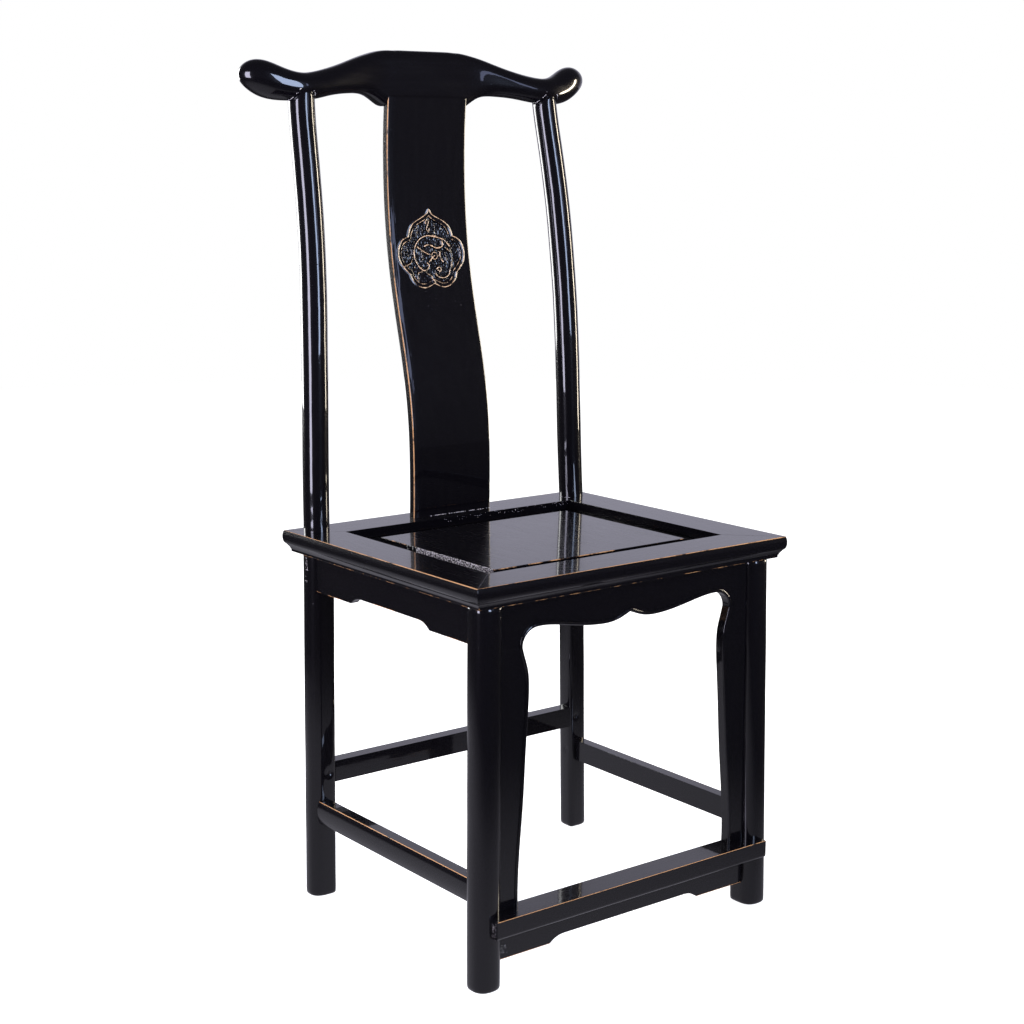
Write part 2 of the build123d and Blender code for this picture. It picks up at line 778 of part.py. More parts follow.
for side, hand in ((-1, "left"), (1, "right")):
    with BuildPart() as side_apron:
        middle_y = (side_gap_front + side_gap_rear) / 2
        half_span = (side_gap_rear - side_gap_front) / 2
        board_middle = (side * side_apron_x, middle_y, frame_bottom)
        board_plane = Plane(origin=board_middle, x_dir=(0, side, 0), z_dir=(side, 0, 0))
        board = stepped_board(board_plane, half_span, rear_leg_size / 2, side_apron_depth, side_apron_rise)
        extrude(board, amount=-apron_thickness)
        cut_legs(("front", hand), ("rear", hand))
        block(*side_apron_tongue(side))
    finish(side_apron.part, f"side_apron_{hand}")

    with BuildPart() as side_stretcher:
        rear_end = (side * side_stretcher_x, rear_leg_y, side_stretcher_z)
        section_plane = Plane(origin=rear_end, x_dir=(side, 0, 0), z_dir=(0, -side, 0))
        with BuildSketch(section_plane):
            with BuildLine():
                half_high = side_stretcher_height / 2
                inside = -side_stretcher_thickness / 2
                outside = side_stretcher_thickness / 2
                shoulder = outside - side_stretcher_bulge
                Line((shoulder, half_high), (inside, half_high))
                Line((inside, half_high), (inside, -half_high))
                Line((inside, -half_high), (shoulder, -half_high))
                ThreePointArc((shoulder, -half_high), (outside, 0), (shoulder, half_high))
            make_face()
        extrude(amount=side * (rear_leg_y - front_leg_y(side_stretcher_z)))
        cut_legs(("front", hand), ("rear", hand))
        block(*side_stretcher_tenon(side))
        peg_hole(*front_leg_pegs(side)[1])
        peg_hole(*rear_leg_pegs(side)[0])
    finish(side_stretcher.part, f"side_stretcher_{hand}")

with BuildPart() as rear_apron:
    board_plane = Plane(origin=(0, rear_apron_y, frame_bottom), x_dir=(-1, 0, 0), z_dir=(0, 1, 0))
    board = stepped_board(board_plane, rear_gap_x, rear_leg_size / 2, side_apron_depth, side_apron_rise)
    extrude(board, amount=-apron_thickness)
    cut_legs(("rear", "left"), ("rear", "right"))
    block(*rear_apron_tongue)
finish(rear_apron.part, "rear_apron")

with BuildPart() as rear_stretcher:
    half_thick = rear_stretcher_thickness / 2
    block(
        (-leg_x(rear_stretcher_z), leg_x(rear_stretcher_z)),
        (rear_stretcher_y - half_thick, rear_stretcher_y + half_thick),
        (rear_stretcher_top - rear_stretcher_height, rear_stretcher_top),
    )
    cut_legs(("rear", "left"), ("rear", "right"))
    block(*rear_stretcher_tenon)
    for side in (-1, 1):
        peg_hole(*rear_leg_pegs(side)[1])
finish(rear_stretcher.part, "rear_stretcher")

# ---------------------------------------------------------------- legs and back posts

for side, hand in ((-1, "left"), (1, "right")):
    with BuildPart() as front_leg:
        add(leg_blanks["front", hand])
        block(*leg_tenon(side))
        mortise(*front_apron_tongue(side), ends="x")
        mortise(*bracket_tongue(side), ends="x")
        mortise(*footrest_tenon, ends="x")
        mortise(*footrest_apron_tongue, ends="x")
        mortise(*side_apron_tongue(side), ends="y")
        mortise(*side_stretcher_tenon(side), ends="y")
        for start, end in front_leg_pegs(side):
            peg_hole(start, end)
    finish(front_leg.part, f"front_leg_{hand}")

    with BuildPart() as rear_post:
        add(leg_blanks["rear", hand])
        post_foot = (side * leg_top_x, rear_leg_y, frame_bottom)
        post_shoulder = (side * leg_top_x, rear_leg_y, seat_height)
        peg(post_foot, post_shoulder, post_diameter)
        path_points = []
        for share, inward, backward in post_curve:
            height = seat_height + share * (neck_height - seat_height)
            path_points.append((side * (leg_top_x - inward), rear_leg_y + backward, height))
        post_path = Spline(*path_points, mode=Mode.PRIVATE)
        rings = []
        for step in range(post_rings + 1):
            with BuildSketch(Plane(origin=post_path @ (step / post_rings))) as ring:
                Circle(post_diameter / 2)
            rings.append(ring.sketch)
        loft(rings)
        add(crest_blank.part, mode=Mode.SUBTRACT)
        peg(*post_tenon(side), post_tenon_diameter)
        mortise(*side_apron_tongue(side), ends="y")
        mortise(*side_stretcher_tenon(side), ends="y")
        mortise(*rear_apron_tongue, ends="x")
        mortise(*rear_stretcher_tenon, ends="x")
        for start, end in rear_leg_pegs(side) + [crest_peg(side)]:
            peg_hole(start, end)
    finish(rear_post.part, f"rear_post_{hand}")

# ---------------------------------------------------------------- splat and crest rail

with BuildPart() as back_splat:
    add(splat_blank.part)
    block(*splat_foot_tenon)
    block(*splat_head_tenon)
finish(back_splat.part, "back_splat")

with BuildPart() as crest_rail:
    add(crest_blank.part)
    add(splat_blank.part, mode=Mode.SUBTRACT)
    mortise(*splat_head_tenon, ends="z")
    for side in (-1, 1):
        foot, head = post_tenon(side)
        deeper = (head[0], head[1], head[2] + end_clearance)
        peg(foot, deeper, post_tenon_diameter + 2 * tenon_clearance, mode=Mode.SUBTRACT)
        peg_hole(*crest_peg(side))
finish(crest_rail.part, "crest_rail")

# ---------------------------------------------------------------- pegs

with BuildPart() as seat_frame_pegs:
    for side in (-1, 1):
        for end in (-1, 1):
            peg(*frame_peg(side, end), peg_diameter)
finish(seat_frame_pegs.part, "seat_frame_pegs")

with BuildPart() as crest_rail_pegs:
    for side in (-1, 1):
        peg(*crest_peg(side), peg_diameter)
finish(crest_rail_pegs.part, "crest_rail_pegs")

with BuildPart() as stretcher_pegs:
    for side in (-1, 1):
        for start, end in front_leg_pegs(side) + rear_leg_pegs(side):
            peg(start, end, peg_diameter)
finish(stretcher_pegs.part, "stretcher_pegs")
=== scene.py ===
# %% [markdown]
# # A yoke-back side chair in worn black lacquer
#
# This lesson dresses a finished joiner's model of a Chinese side chair. The joinery is already there,
# piece by piece, and it fixes every size and place. What is left is what the eye enjoys: soft arrises
# that have rubbed through to the wood, a carved medallion, a bead along the front boards, and a deep
# lacquer that mirrors the room.

# %% Load the joiner's model
import math
import random

import bmesh
import bpy
import numpy as np
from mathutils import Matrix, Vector, noise


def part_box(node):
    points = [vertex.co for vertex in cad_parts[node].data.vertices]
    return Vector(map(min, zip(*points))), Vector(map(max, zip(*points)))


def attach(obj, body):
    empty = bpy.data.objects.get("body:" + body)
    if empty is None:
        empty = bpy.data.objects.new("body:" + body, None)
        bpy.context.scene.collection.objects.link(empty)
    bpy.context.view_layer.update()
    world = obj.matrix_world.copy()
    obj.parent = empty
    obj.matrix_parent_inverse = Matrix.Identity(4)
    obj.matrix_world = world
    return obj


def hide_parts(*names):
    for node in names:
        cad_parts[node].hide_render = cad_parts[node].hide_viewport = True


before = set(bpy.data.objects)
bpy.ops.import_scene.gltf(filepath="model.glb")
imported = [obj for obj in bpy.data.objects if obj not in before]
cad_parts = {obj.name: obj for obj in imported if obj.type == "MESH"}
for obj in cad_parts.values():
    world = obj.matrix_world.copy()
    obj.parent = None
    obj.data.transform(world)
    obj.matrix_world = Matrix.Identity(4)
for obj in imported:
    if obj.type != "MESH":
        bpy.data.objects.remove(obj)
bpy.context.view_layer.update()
bpy.context.scene.view_settings.view_transform = "Standard"
print("pieces in the model:", len(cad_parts))

# %% [markdown]
# ## Measures
#
# Blender works in metres and a joiner in millimetres, so one constant turns the one into the other.
# The boxes of the joiner's pieces give the places of the seat and the boards, so that nothing is typed twice.

# %% Measures
MM = 0.001

seat_low, seat_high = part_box("seat_rail_left")
seat_side = -seat_low.x
seat_front = seat_low.y
seat_rear = seat_high.y
seat_top = seat_high.z
seat_under = seat_low.z
seat_y = (seat_front + seat_rear) / 2
board_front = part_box("front_apron")[0].y
print(f"seat top {seat_top / MM:.0f} mm above the floor, middle at y = {seat_y / MM:.1f} mm")

# %% [markdown]
# ## The camera
#
# The camera stands far back with a long lens, a little above the seat. It could stand closer with a short
# lens, but then the legs would splay, and here they stay nearly parallel. The chair is turned about 37
# degrees, which shows its front and its left side.

# %% The camera
CAMERA_LENS = 65.03
CAMERA_SENSOR = 36.0
CAMERA_TURN = math.radians(-37.39)
CAMERA_TILT = math.radians(90 - 10.765)
CAMERA_BESIDE = -1.4578
CAMERA_BEFORE_SEAT = -1.8630
CAMERA_HEIGHT = 0.9779

camera_data = bpy.data.cameras.new("camera")
camera_data.lens = CAMERA_LENS
camera_data.sensor_width = CAMERA_SENSOR
camera = bpy.data.objects.new("camera", camera_data)
camera.location = (CAMERA_BESIDE, seat_y + CAMERA_BEFORE_SEAT, CAMERA_HEIGHT)
camera.rotation_euler = (CAMERA_TILT, 0.0, CAMERA_TURN)
bpy.context.scene.collection.objects.link(camera)
bpy.context.scene.camera = camera
print(f"camera {CAMERA_HEIGHT:.2f} m above the floor, with a lens of {CAMERA_LENS:.0f} mm")

# %% [markdown]
# ## Helpers for materials
#
# A colour is written as the hex code that a screen shows, and one function turns it into the linear light
# that Cycles adds up. Another function adds a node, sets its values and links it, so that a material reads
# like a recipe.

# %% Helpers for materials


def colour(code):
    """Linear RGBA of a hex code such as 8f8d9b."""
    channels = [int(code[i:i + 2], 16) / 255 for i in (0, 2, 4)]
    linear = [c / 12.92 if c <= 0.04045 else ((c + 0.055) / 1.055) ** 2.4 for c in channels]
    return (*linear, 1.0)


def add_node(tree, kind, settings=None, **inputs):
    """Add a node; inputs are values, or sockets of other nodes to link. A name such as input_0 is a place."""
    node = tree.nodes.new("ShaderNode" + kind)
    for name, value in (settings or {}).items():
        setattr(node, name, value)
    for name, value in inputs.items():
        key = int(name[6:]) if name.startswith("input_") else name.replace("_", " ")
        if isinstance(value, bpy.types.NodeSocket):
            tree.links.new(value, node.inputs[key])
        else:
            node.inputs[key].default_value = value
    return node


def new_material(name):
    """An empty material with its output node."""
    material = bpy.data.materials.new(name)
    material.use_nodes = True
    material.node_tree.nodes.clear()
    output = material.node_tree.nodes.new("ShaderNodeOutputMaterial")
    return material, material.node_tree, output


# %% [markdown]
# ## The studio
#
# Black lacquer has hardly any colour of its own: what we see is the room in it. So the room is built first.
# A sheet of white paper lies under the chair and rises behind it, the rest of the studio is dark, and a few
# soft lamps stand around. The camera sees pure white everywhere, while the lacquer sees a lit patch of paper
# that fades into the dark. The floor isn't sampled as a lamp, so that a glossy ray always meets what glossy
# rays should.

# %% The floor
FLOOR_RADIUS = 6.0
FLOOR_BELOW_FEET = 0.4 * MM
PAPER_MIDDLE = (0.35, -0.15, 0.0)
PAPER_RADIUS = 0.45
PAPER_FADE = 1.35
PAPER_LIGHT = 0.80
PAPER_GLOW = 0.60
FAR_FLOOR_GLOW = 0.05

bpy.ops.object.select_all(action="DESELECT")
bpy.ops.mesh.primitive_circle_add(vertices=96, radius=FLOOR_RADIUS, fill_type="NGON",
                                  location=(0, 0, -FLOOR_BELOW_FEET))
floor = bpy.context.object
floor.name = "studio_floor"
paper, tree, output = new_material("white_paper_sweep")
paper.cycles.emission_sampling = "NONE"
rays = add_node(tree, "LightPath").outputs
place = add_node(tree, "TexCoord").outputs["Object"]
from_middle = add_node(tree, "Mapping", Vector=place, Location=PAPER_MIDDLE).outputs["Vector"]
reach = add_node(tree, "VectorMath", {"operation": "LENGTH"}, input_0=from_middle).outputs["Value"]
fade = add_node(tree, "MapRange", {"interpolation_type": "SMOOTHSTEP"}, Value=reach,
                From_Min=PAPER_RADIUS, From_Max=PAPER_FADE,
                To_Min=PAPER_GLOW, To_Max=FAR_FLOOR_GLOW).outputs["Result"]
seen = add_node(tree, "Emission", Color=colour("ffffff"), Strength=PAPER_LIGHT).outputs[0]
matte = add_node(tree, "BsdfDiffuse", Color=colour("e6e6e6")).outputs[0]
lit = add_node(tree, "AddShader", input_0=seen, input_1=matte).outputs[0]
mirrored = add_node(tree, "Emission", Color=colour("e4e2f0"), Strength=fade).outputs[0]
shown = add_node(tree, "MixShader", Fac=rays["Is Glossy Ray"], input_1=lit, input_2=mirrored).outputs[0]
tree.links.new(shown, output.inputs["Surface"])
floor.data.materials.append(paper)
print(f"floor of {FLOOR_RADIUS:.0f} m radius, its paper bright within {PAPER_RADIUS:.2f} m")

# %% [markdown]
# ## The room
#
# Behind the chair the paper rises as a backdrop. It could be modelled as a curved sheet, but a world that is
# brighter on one side gives the lacquer the same reflection and casts no shadow of its own. Glossy rays see
# the dim room and that backdrop, the camera sees white, and all else sees a soft even light.

# %% The room
ROOM_GLOW = 0.10
BACKDROP_GLOW = 0.76
BACKDROP_SIDES = (0.45, 0.92)
BACKDROP_TOP = (0.35, 0.75)
EVEN_LIGHT = 0.55

world = bpy.data.worlds.new("studio_room")
bpy.context.scene.world = world
world.cycles.sampling_method = "NONE"
world.use_nodes = True
tree = world.node_tree
tree.nodes.clear()
output = tree.nodes.new("ShaderNodeOutputWorld")
rays = add_node(tree, "LightPath").outputs
direction = add_node(tree, "TexCoord").outputs["Generated"]
away = Vector((math.sin(-CAMERA_TURN), math.cos(-CAMERA_TURN), 0.0))
level = add_node(tree, "SeparateXYZ", Vector=direction).outputs["Z"]
facing = add_node(tree, "VectorMath", {"operation": "DOT_PRODUCT"}, input_0=direction, input_1=away)
behind = add_node(tree, "MapRange", {"interpolation_type": "SMOOTHSTEP"}, Value=facing.outputs["Value"],
                  From_Min=BACKDROP_SIDES[0], From_Max=BACKDROP_SIDES[1]).outputs["Result"]
low = add_node(tree, "MapRange", {"interpolation_type": "SMOOTHSTEP"}, Value=level,
               From_Min=BACKDROP_TOP[0], From_Max=BACKDROP_TOP[1], To_Min=1.0, To_Max=0.0).outputs["Result"]
sheet = add_node(tree, "Math", {"operation": "MULTIPLY"}, input_0=behind, input_1=low).outputs[0]
glow = add_node(tree, "MapRange", Value=sheet, To_Min=ROOM_GLOW, To_Max=BACKDROP_GLOW).outputs["Result"]
mirrored = add_node(tree, "Background", Color=colour("dedcf0"), Strength=glow).outputs[0]
seen = add_node(tree, "Background", Color=colour("ffffff"), Strength=1.0).outputs[0]
soft = add_node(tree, "Background", Color=colour("ffffff"), Strength=EVEN_LIGHT).outputs[0]
not_glossy = add_node(tree, "MixShader", Fac=rays["Is Camera Ray"], input_1=soft, input_2=seen).outputs[0]
shown = add_node(tree, "MixShader", Fac=rays["Is Glossy Ray"], input_1=not_glossy, input_2=mirrored)
tree.links.new(shown.outputs[0], output.inputs["Surface"])
print(f"a mirror sees {ROOM_GLOW} in the room and up to {BACKDROP_GLOW} on the backdrop")

# %% [markdown]
# ## The lamps
#
# A round post shows each lamp as one long line, so upright strips draw its shape. Point lamps would give
# only dots. Each strip stands where a flat side of the chair doesn't mirror it towards the camera, because
# a whole side would then turn white. The weak one in front is an ellipse, so that its ends fade out.

# %% The lamps


def strip_lamp(name, turn, distance, low_end, size, watts, code, shape="RECTANGLE"):
    """A soft strip that faces the chair; turn is counted from the chair's front towards its left side."""
    turn = math.radians(turn)
    data = bpy.data.lights.new(name, "AREA")
    data.shape = shape
    data.size, data.size_y = size
    data.energy = watts
    data.color = colour(code)[:3]
    lamp = bpy.data.objects.new(name, data)
    height = low_end + size[1] / 2
    lamp.location = (-math.sin(turn) * distance, seat_y - math.cos(turn) * distance, height)
    lamp.rotation_euler = (math.radians(90), 0.0, -turn)
    lamp.visible_camera = False
    bpy.context.scene.collection.objects.link(lamp)
    print(f"{name}: {watts} W, its middle {height:.2f} m above the floor")


strip_lamp("window_behind_left", 162, 2.4, 0.42, (0.90, 1.6), 60, "ffffff")
strip_lamp("softbox_left", 80, 2.2, 0.30, (0.70, 1.5), 56, "e9e6ff")
strip_lamp("softbox_front", -10, 2.6, 0.62, (0.62, 1.9), 62, "c8daff")
strip_lamp("softbox_front_right", -27, 2.6, 1.12, (0.20, 0.9), 1.6, "c4d0ff", "ELLIPSE")
strip_lamp("strip_right", -74, 2.3, 0.35, (0.28, 1.4), 40, "fff0d8")

# %% [markdown]
# ## Lacquer
#
# Raw lacquer with soot in it is black with a cold tint. It is brushed on in thin coats along the grain and
# rubbed down, so it is glassy, with a soft second gloss under the top coat, faint brush ripples along each
# piece, and a few nibs of dust that catch the light. A single gloss would look like plastic, so the shader
# has a hazy ground and a clear coat. The grain follows the piece, so the finish is made once for each
# direction. Real nibs are finer and denser; these are as coarse as they need to be to show.

# %% Lacquer
LACQUER_BLACK = "060508"
BRUSH_WIDTH = 5 * MM
BRUSH_LENGTH = 60 * MM
BRUSH_MARK = 0.5 * MM
NIB_SPACING = 9 * MM
NIB_HEIGHT = 0.12 * MM


def lacquer_ripple(tree, grain):
    """The marks and the normal of lacquer that was brushed along X, Y or Z."""
    place = add_node(tree, "TexCoord").outputs["Object"]
    stretch = [1 / BRUSH_WIDTH] * 3
    stretch["XYZ".index(grain)] = 1 / BRUSH_LENGTH
    along = add_node(tree, "Mapping", Vector=place, Scale=stretch).outputs["Vector"]
    marks = add_node(tree, "TexNoise", Vector=along, Scale=1.0, Detail=2.0).outputs["Fac"]
    ripple = add_node(tree, "Bump", Height=marks, Strength=0.10, Distance=BRUSH_MARK).outputs["Normal"]
    cells = add_node(tree, "TexVoronoi", {"feature": "F1"}, Vector=place, Scale=1 / NIB_SPACING)
    nib = add_node(tree, "MapRange", Value=cells.outputs["Distance"], From_Min=0.02, From_Max=0.07,
                   To_Min=1.0, To_Max=0.0).outputs["Result"]
    both = add_node(tree, "Bump", Height=nib, Strength=0.5, Distance=NIB_HEIGHT, Normal=ripple)
    return marks, both.outputs["Normal"]


def lacquer_shader(tree, grain):
    """Glassy top coat over a slightly hazy black ground."""
    marks, normal = lacquer_ripple(tree, grain)
    haze = add_node(tree, "MapRange", Value=marks, To_Min=0.16, To_Max=0.34).outputs["Result"]
    return add_node(tree, "BsdfPrincipled", Base_Color=colour(LACQUER_BLACK), Roughness=haze, IOR=1.45,
                    Specular_IOR_Level=0.07, Coat_Weight=0.85, Coat_Roughness=0.035, Coat_IOR=1.5,
                    Normal=normal, Coat_Normal=normal).outputs[0]


lacquer = {}
for grain in "XYZ":
    lacquer[grain], tree, output = new_material(f"brushed_black_lacquer_{grain.lower()}")
    tree.links.new(lacquer_shader(tree, grain), output.inputs["Surface"])
print("lacquer brushed along", ", ".join(lacquer))

# %% [markdown]
# ## Arrises rubbed through
#
# Hands, sleeves and polishing cloths wear the corners first. The lacquer thins there and the elm shows as a
# broken tan line. The line is a narrow strip of faces with its own finish, which a noise breaks up. One
# finish is worn through for most of its length, the other only here and there.

# %% Arrises rubbed through
WEAR_LENGTH = 26 * MM
FIBRE_SPACING = 2 * MM


def worn_lacquer(name, start, end):
    """Lacquer with bare elm where the noise passes from start to end."""
    material, tree, output = new_material(name)
    place = add_node(tree, "TexCoord").outputs["Object"]
    patches = add_node(tree, "TexNoise", Vector=place, Scale=1 / WEAR_LENGTH, Detail=7.0, Roughness=0.7)
    bare = add_node(tree, "MapRange", Value=patches.outputs["Fac"], From_Min=start, From_Max=end)
    black = add_node(tree, "BsdfPrincipled", Base_Color=colour(LACQUER_BLACK), Roughness=0.2,
                     Specular_IOR_Level=0.25).outputs[0]
    fibre = add_node(tree, "TexNoise", Vector=place, Scale=1 / FIBRE_SPACING, Detail=2.0).outputs["Fac"]
    shade = add_node(tree, "MixRGB", Fac=fibre, Color1=colour("8a5a34"), Color2=colour("dba873")).outputs[0]
    elm = add_node(tree, "BsdfPrincipled", Base_Color=shade, Roughness=0.5, Specular_IOR_Level=0.2)
    mixed = add_node(tree, "MixShader", Fac=bare.outputs["Result"], input_1=black, input_2=elm.outputs[0])
    tree.links.new(mixed.outputs[0], output.inputs["Surface"])
    print(f"{name}: bare wood where the noise passes {start} to {end}")
    return material


worn = worn_lacquer("lacquer_rubbed_through_to_elm", 0.34, 0.46)
little_worn = worn_lacquer("lacquer_rubbed_through_in_places", 0.50, 0.60)

# %% [markdown]
# ## Bare elm, and the joiner's pieces that stay
#
# Under the seat nobody wastes lacquer: the battens and the pegs of the frame are bare elm, brown and matt,
# with soft darker clouds about a growth ring wide. All the joiner's pieces get a finish first, in case they
# stay in sight. Most of them are replaced by finished copies further down.

# %% Bare elm and the joiner's pieces that stay
GROWTH_RING = 6 * MM
BARE_PIECES = ("seat_frame_pegs", "seat_batten_left", "seat_batten_right")

bare_wood, tree, output = new_material("bare_elm")
place = add_node(tree, "TexCoord").outputs["Object"]
growth = add_node(tree, "TexNoise", Vector=place, Scale=1 / GROWTH_RING, Detail=4.0).outputs["Fac"]
shade = add_node(tree, "MixRGB", Fac=growth, Color1=colour("5d3f26"), Color2=colour("9a6f45")).outputs[0]
shader = add_node(tree, "BsdfPrincipled", Base_Color=shade, Roughness=0.6)
tree.links.new(shader.outputs[0], output.inputs["Surface"])

for name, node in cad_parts.items():
    for slot in node.material_slots:
        slot.material = bare_wood if name in BARE_PIECES else lacquer["Z"]
print("bare elm on", ", ".join(BARE_PIECES))

# %% [markdown]
# ## From the joiner's pieces to finished ones
#
# The joiner's model has knife-sharp arrises, and its meshes are loose triangles. No plane leaves wood like
# that. So each piece is copied, the copy's triangles are merged into whole faces, and its arrises are eased
# with a bevel. On the arrises that wear, the bevel gets a worn finish. Weighted normals keep the broad
# faces flat, so that they mirror the room like a pane.

# %% Helpers for modelling
FLAT = math.radians(0.5)
SHARP = math.radians(35)
SOFT = math.radians(50)
WELD = 0.01 * MM
TOUCH = 0.1 * MM
FINISHES = {"black": 0, "worn": 1, "little_worn": 2}


def pick(*pieces):
    """Select these pieces and nothing else."""
    bpy.ops.object.select_all(action="DESELECT")
    for piece in pieces:
        piece.select_set(True)
    bpy.context.view_layer.objects.active = pieces[0]


def lacquered(piece, grain):
    """Give a piece the black lacquer and both worn ones, in the order of FINISHES."""
    piece.data.materials.clear()
    for material in (lacquer[grain], worn, little_worn):
        piece.data.materials.append(material)


def joiners_copy(name, grain, planed=True):
    """A copy of a joiner's piece with its triangles merged, and on planed wood made into whole faces."""
    piece = bpy.data.objects.new(f"{name}_finished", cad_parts[name].data.copy())
    bpy.context.scene.collection.objects.link(piece)
    pick(piece)
    bpy.ops.mesh.customdata_custom_splitnormals_clear()
    lacquered(piece, grain)
    bpy.ops.object.mode_set(mode="EDIT")
    bpy.ops.mesh.select_all(action="SELECT")
    bpy.ops.mesh.remove_doubles(threshold=WELD)
    if planed:
        bpy.ops.mesh.dissolve_limited(angle_limit=FLAT)
    bpy.ops.object.mode_set(mode="OBJECT")
    return piece


def ease(piece, width, wanted, finish="black"):
    """Bevel the sharp edges for which wanted(middle) is true, and give the new faces that finish."""
    pick(piece)
    bpy.ops.object.mode_set(mode="EDIT")
    bpy.ops.mesh.select_mode(type="EDGE")
    bpy.ops.mesh.select_all(action="DESELECT")
    bm = bmesh.from_edit_mesh(piece.data)
    chosen = [edge for edge in bm.edges
              if len(edge.link_faces) == 2 and edge.calc_face_angle() > SHARP
              and wanted((edge.verts[0].co + edge.verts[1].co) / 2)]
    for edge in chosen:
        edge.select_set(True)
    bmesh.update_edit_mesh(piece.data)
    if chosen:
        bpy.ops.mesh.bevel(offset=width, segments=3, affect="EDGES", clamp_overlap=False,
                           material=FINISHES[finish])
    bpy.ops.object.mode_set(mode="OBJECT")


def apply_modifier(piece, kind, **settings):
    """Add a modifier, set it and apply it."""
    pick(piece)
    modifier = piece.modifiers.new(kind.lower(), kind)
    for name, value in settings.items():
        setattr(modifier, name, value)
    bpy.ops.object.modifier_apply(modifier=modifier.name)


def read_points(piece, what="co"):
    """The places (co) or normals of all points of a piece, one row each."""
    rows = np.empty(len(piece.data.vertices) * 3, np.float32)
    piece.data.vertices.foreach_get(what, rows)
    return rows.reshape(-1, 3)


def move_points(piece, places):
    """Put all points of a piece at these places."""
    piece.data.vertices.foreach_set("co", np.asarray(places, np.float32).ravel())
    piece.data.update()


def hand_over(piece, *names):
    """Let a finished piece ride with the chair and stand for the joiner's pieces of these names."""
    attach(piece, "root")
    if names:
        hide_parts(*names)
    print(f"{piece.name}: {len(piece.data.polygons)} faces")


def flat_shading(piece):
    """Smooth over the eased arrises, with the broad faces kept flat."""
    pick(piece)
    bpy.ops.object.shade_smooth_by_angle(angle=SOFT)
    apply_modifier(piece, "WEIGHTED_NORMAL", keep_sharp=True)


# %% [markdown]
# ## Planed pieces
#
# Rails, boards and bars are planed flat. A voxel skin, as on the legs further down, would blur their crisp
# mouldings, so the copy keeps its faces and only the arrises change. The ones that rub through are eased
# first, each set with its own width and finish, and then all the others.

# %% Planed pieces
ARRIS = 0.45 * MM
RUBBED_ARRIS = 0.9 * MM


def planed_piece(name, grain, *rubbed, shape=None):
    """Finish a planed piece; rubbed holds (width, wanted, finish) for its worn arrises."""
    piece = joiners_copy(name, grain)
    if shape:
        shape(piece)
    for width, wanted, finish in rubbed:
        ease(piece, width, wanted, finish)
    ease(piece, ARRIS, lambda middle: True)
    flat_shading(piece)
    hand_over(piece, name)
    return piece


# %% [markdown]
# ## The seat frame
#
# Four mitred rails carry a moulding: a swelling band, a cove under it and a thin foot. Sleeves rub the upper
# outer arris, most of all in front and on the left, and the foot wears here and there. On an old seat the
# cove is nearly a straight slant, so its points are moved outwards before the arrises are eased.

# %% The seat frame
MOULDING_FOOT = 4 * MM
MOULDING_REACH = 10 * MM
BAND_FOOT = seat_top - 16 * MM
BAND_BULGE = 1.5 * MM
FOOT_TOP = seat_under + 3 * MM
FOOT_DEPTH = 8.5 * MM
COVE_SOFTENED = 0.7


def at_seat_rim(middle):
    """Near the outline of the seat frame, seen from above."""
    beside = seat_side - abs(middle.x) < MOULDING_REACH
    return beside or middle.y - seat_front < MOULDING_REACH or seat_rear - middle.y < MOULDING_REACH


def soften_cove(rail):
    """Bring the cove under the band nearer to a straight slant, as years of rubbing do."""
    places = read_points(rail)
    z = places[:, 2]
    slant = BAND_BULGE + (FOOT_DEPTH - BAND_BULGE) * (BAND_FOOT - z) / (BAND_FOOT - FOOT_TOP)
    in_cove = (z < BAND_FOOT - TOUCH) & (z > FOOT_TOP + TOUCH)
    for axis, edge, inward in ((0, -seat_side, 1), (0, seat_side, -1),
                               (1, seat_front, 1), (1, seat_rear, -1)):
        depth = (places[:, axis] - edge) * inward
        deep = in_cove & (depth < FOOT_DEPTH + MM) & (depth > slant)
        places[deep, axis] -= inward * COVE_SOFTENED * (depth - slant)[deep]
    move_points(rail, places)


for side, grain in (("front", "X"), ("rear", "X"), ("left", "Y"), ("right", "Y")):
    planed_piece(
        f"seat_rail_{side}", grain,
        (RUBBED_ARRIS, lambda middle: at_seat_rim(middle) and middle.z > seat_top - ARRIS,
         "worn" if side in ("left", "front") else "little_worn"),
        (ARRIS, lambda middle: at_seat_rim(middle) and middle.z < seat_under + MOULDING_FOOT,
         "little_worn"),
        shape=soften_cove)

# %% [markdown]
# ## The seat panel
#
# The panel floats in the rails' groove, and its raised field is what a sitter slides over. The field's
# upper arrises are therefore the only ones on it that rub through, and only in places.

# %% The seat panel
_, panel_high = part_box("seat_panel")

panel = planed_piece("seat_panel", "Y", (
    RUBBED_ARRIS, lambda middle: middle.z > panel_high.z - ARRIS, "little_worn"))

# %% [markdown]
# ## Boards and bars
#
# Shoes and trouser legs brush the side stretchers' upper outer arris, the front of the footrest and the
# lower edges of the aprons. Each of these arrises is found by its place, and the rest are only eased.

# %% The sides
APRON_STEP = 12 * MM
APRON_END = 8 * MM
STRETCHER_ARRIS = 1.4 * ARRIS

for side, hand in ((-1, "left"), (1, "right")):
    apron_low, apron_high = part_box(f"side_apron_{hand}")
    planed_piece(f"side_apron_{hand}", "Y", (
        RUBBED_ARRIS, lambda middle: middle.z < apron_low.z + APRON_STEP
        and apron_low.y + APRON_END < middle.y < apron_high.y - APRON_END, "little_worn"))
    bar_low, bar_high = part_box(f"side_stretcher_{hand}")
    planed_piece(f"side_stretcher_{hand}", "Y", (
        STRETCHER_ARRIS, lambda middle: middle.z > bar_high.z - ARRIS
        and side * middle.x > side * (bar_low.x + bar_high.x) / 2, "worn"))
    planed_piece(f"front_bracket_{hand}", "Z")

# %% Front and rear
for name in ("front_apron", "rear_apron", "rear_stretcher"):
    planed_piece(name, "X")

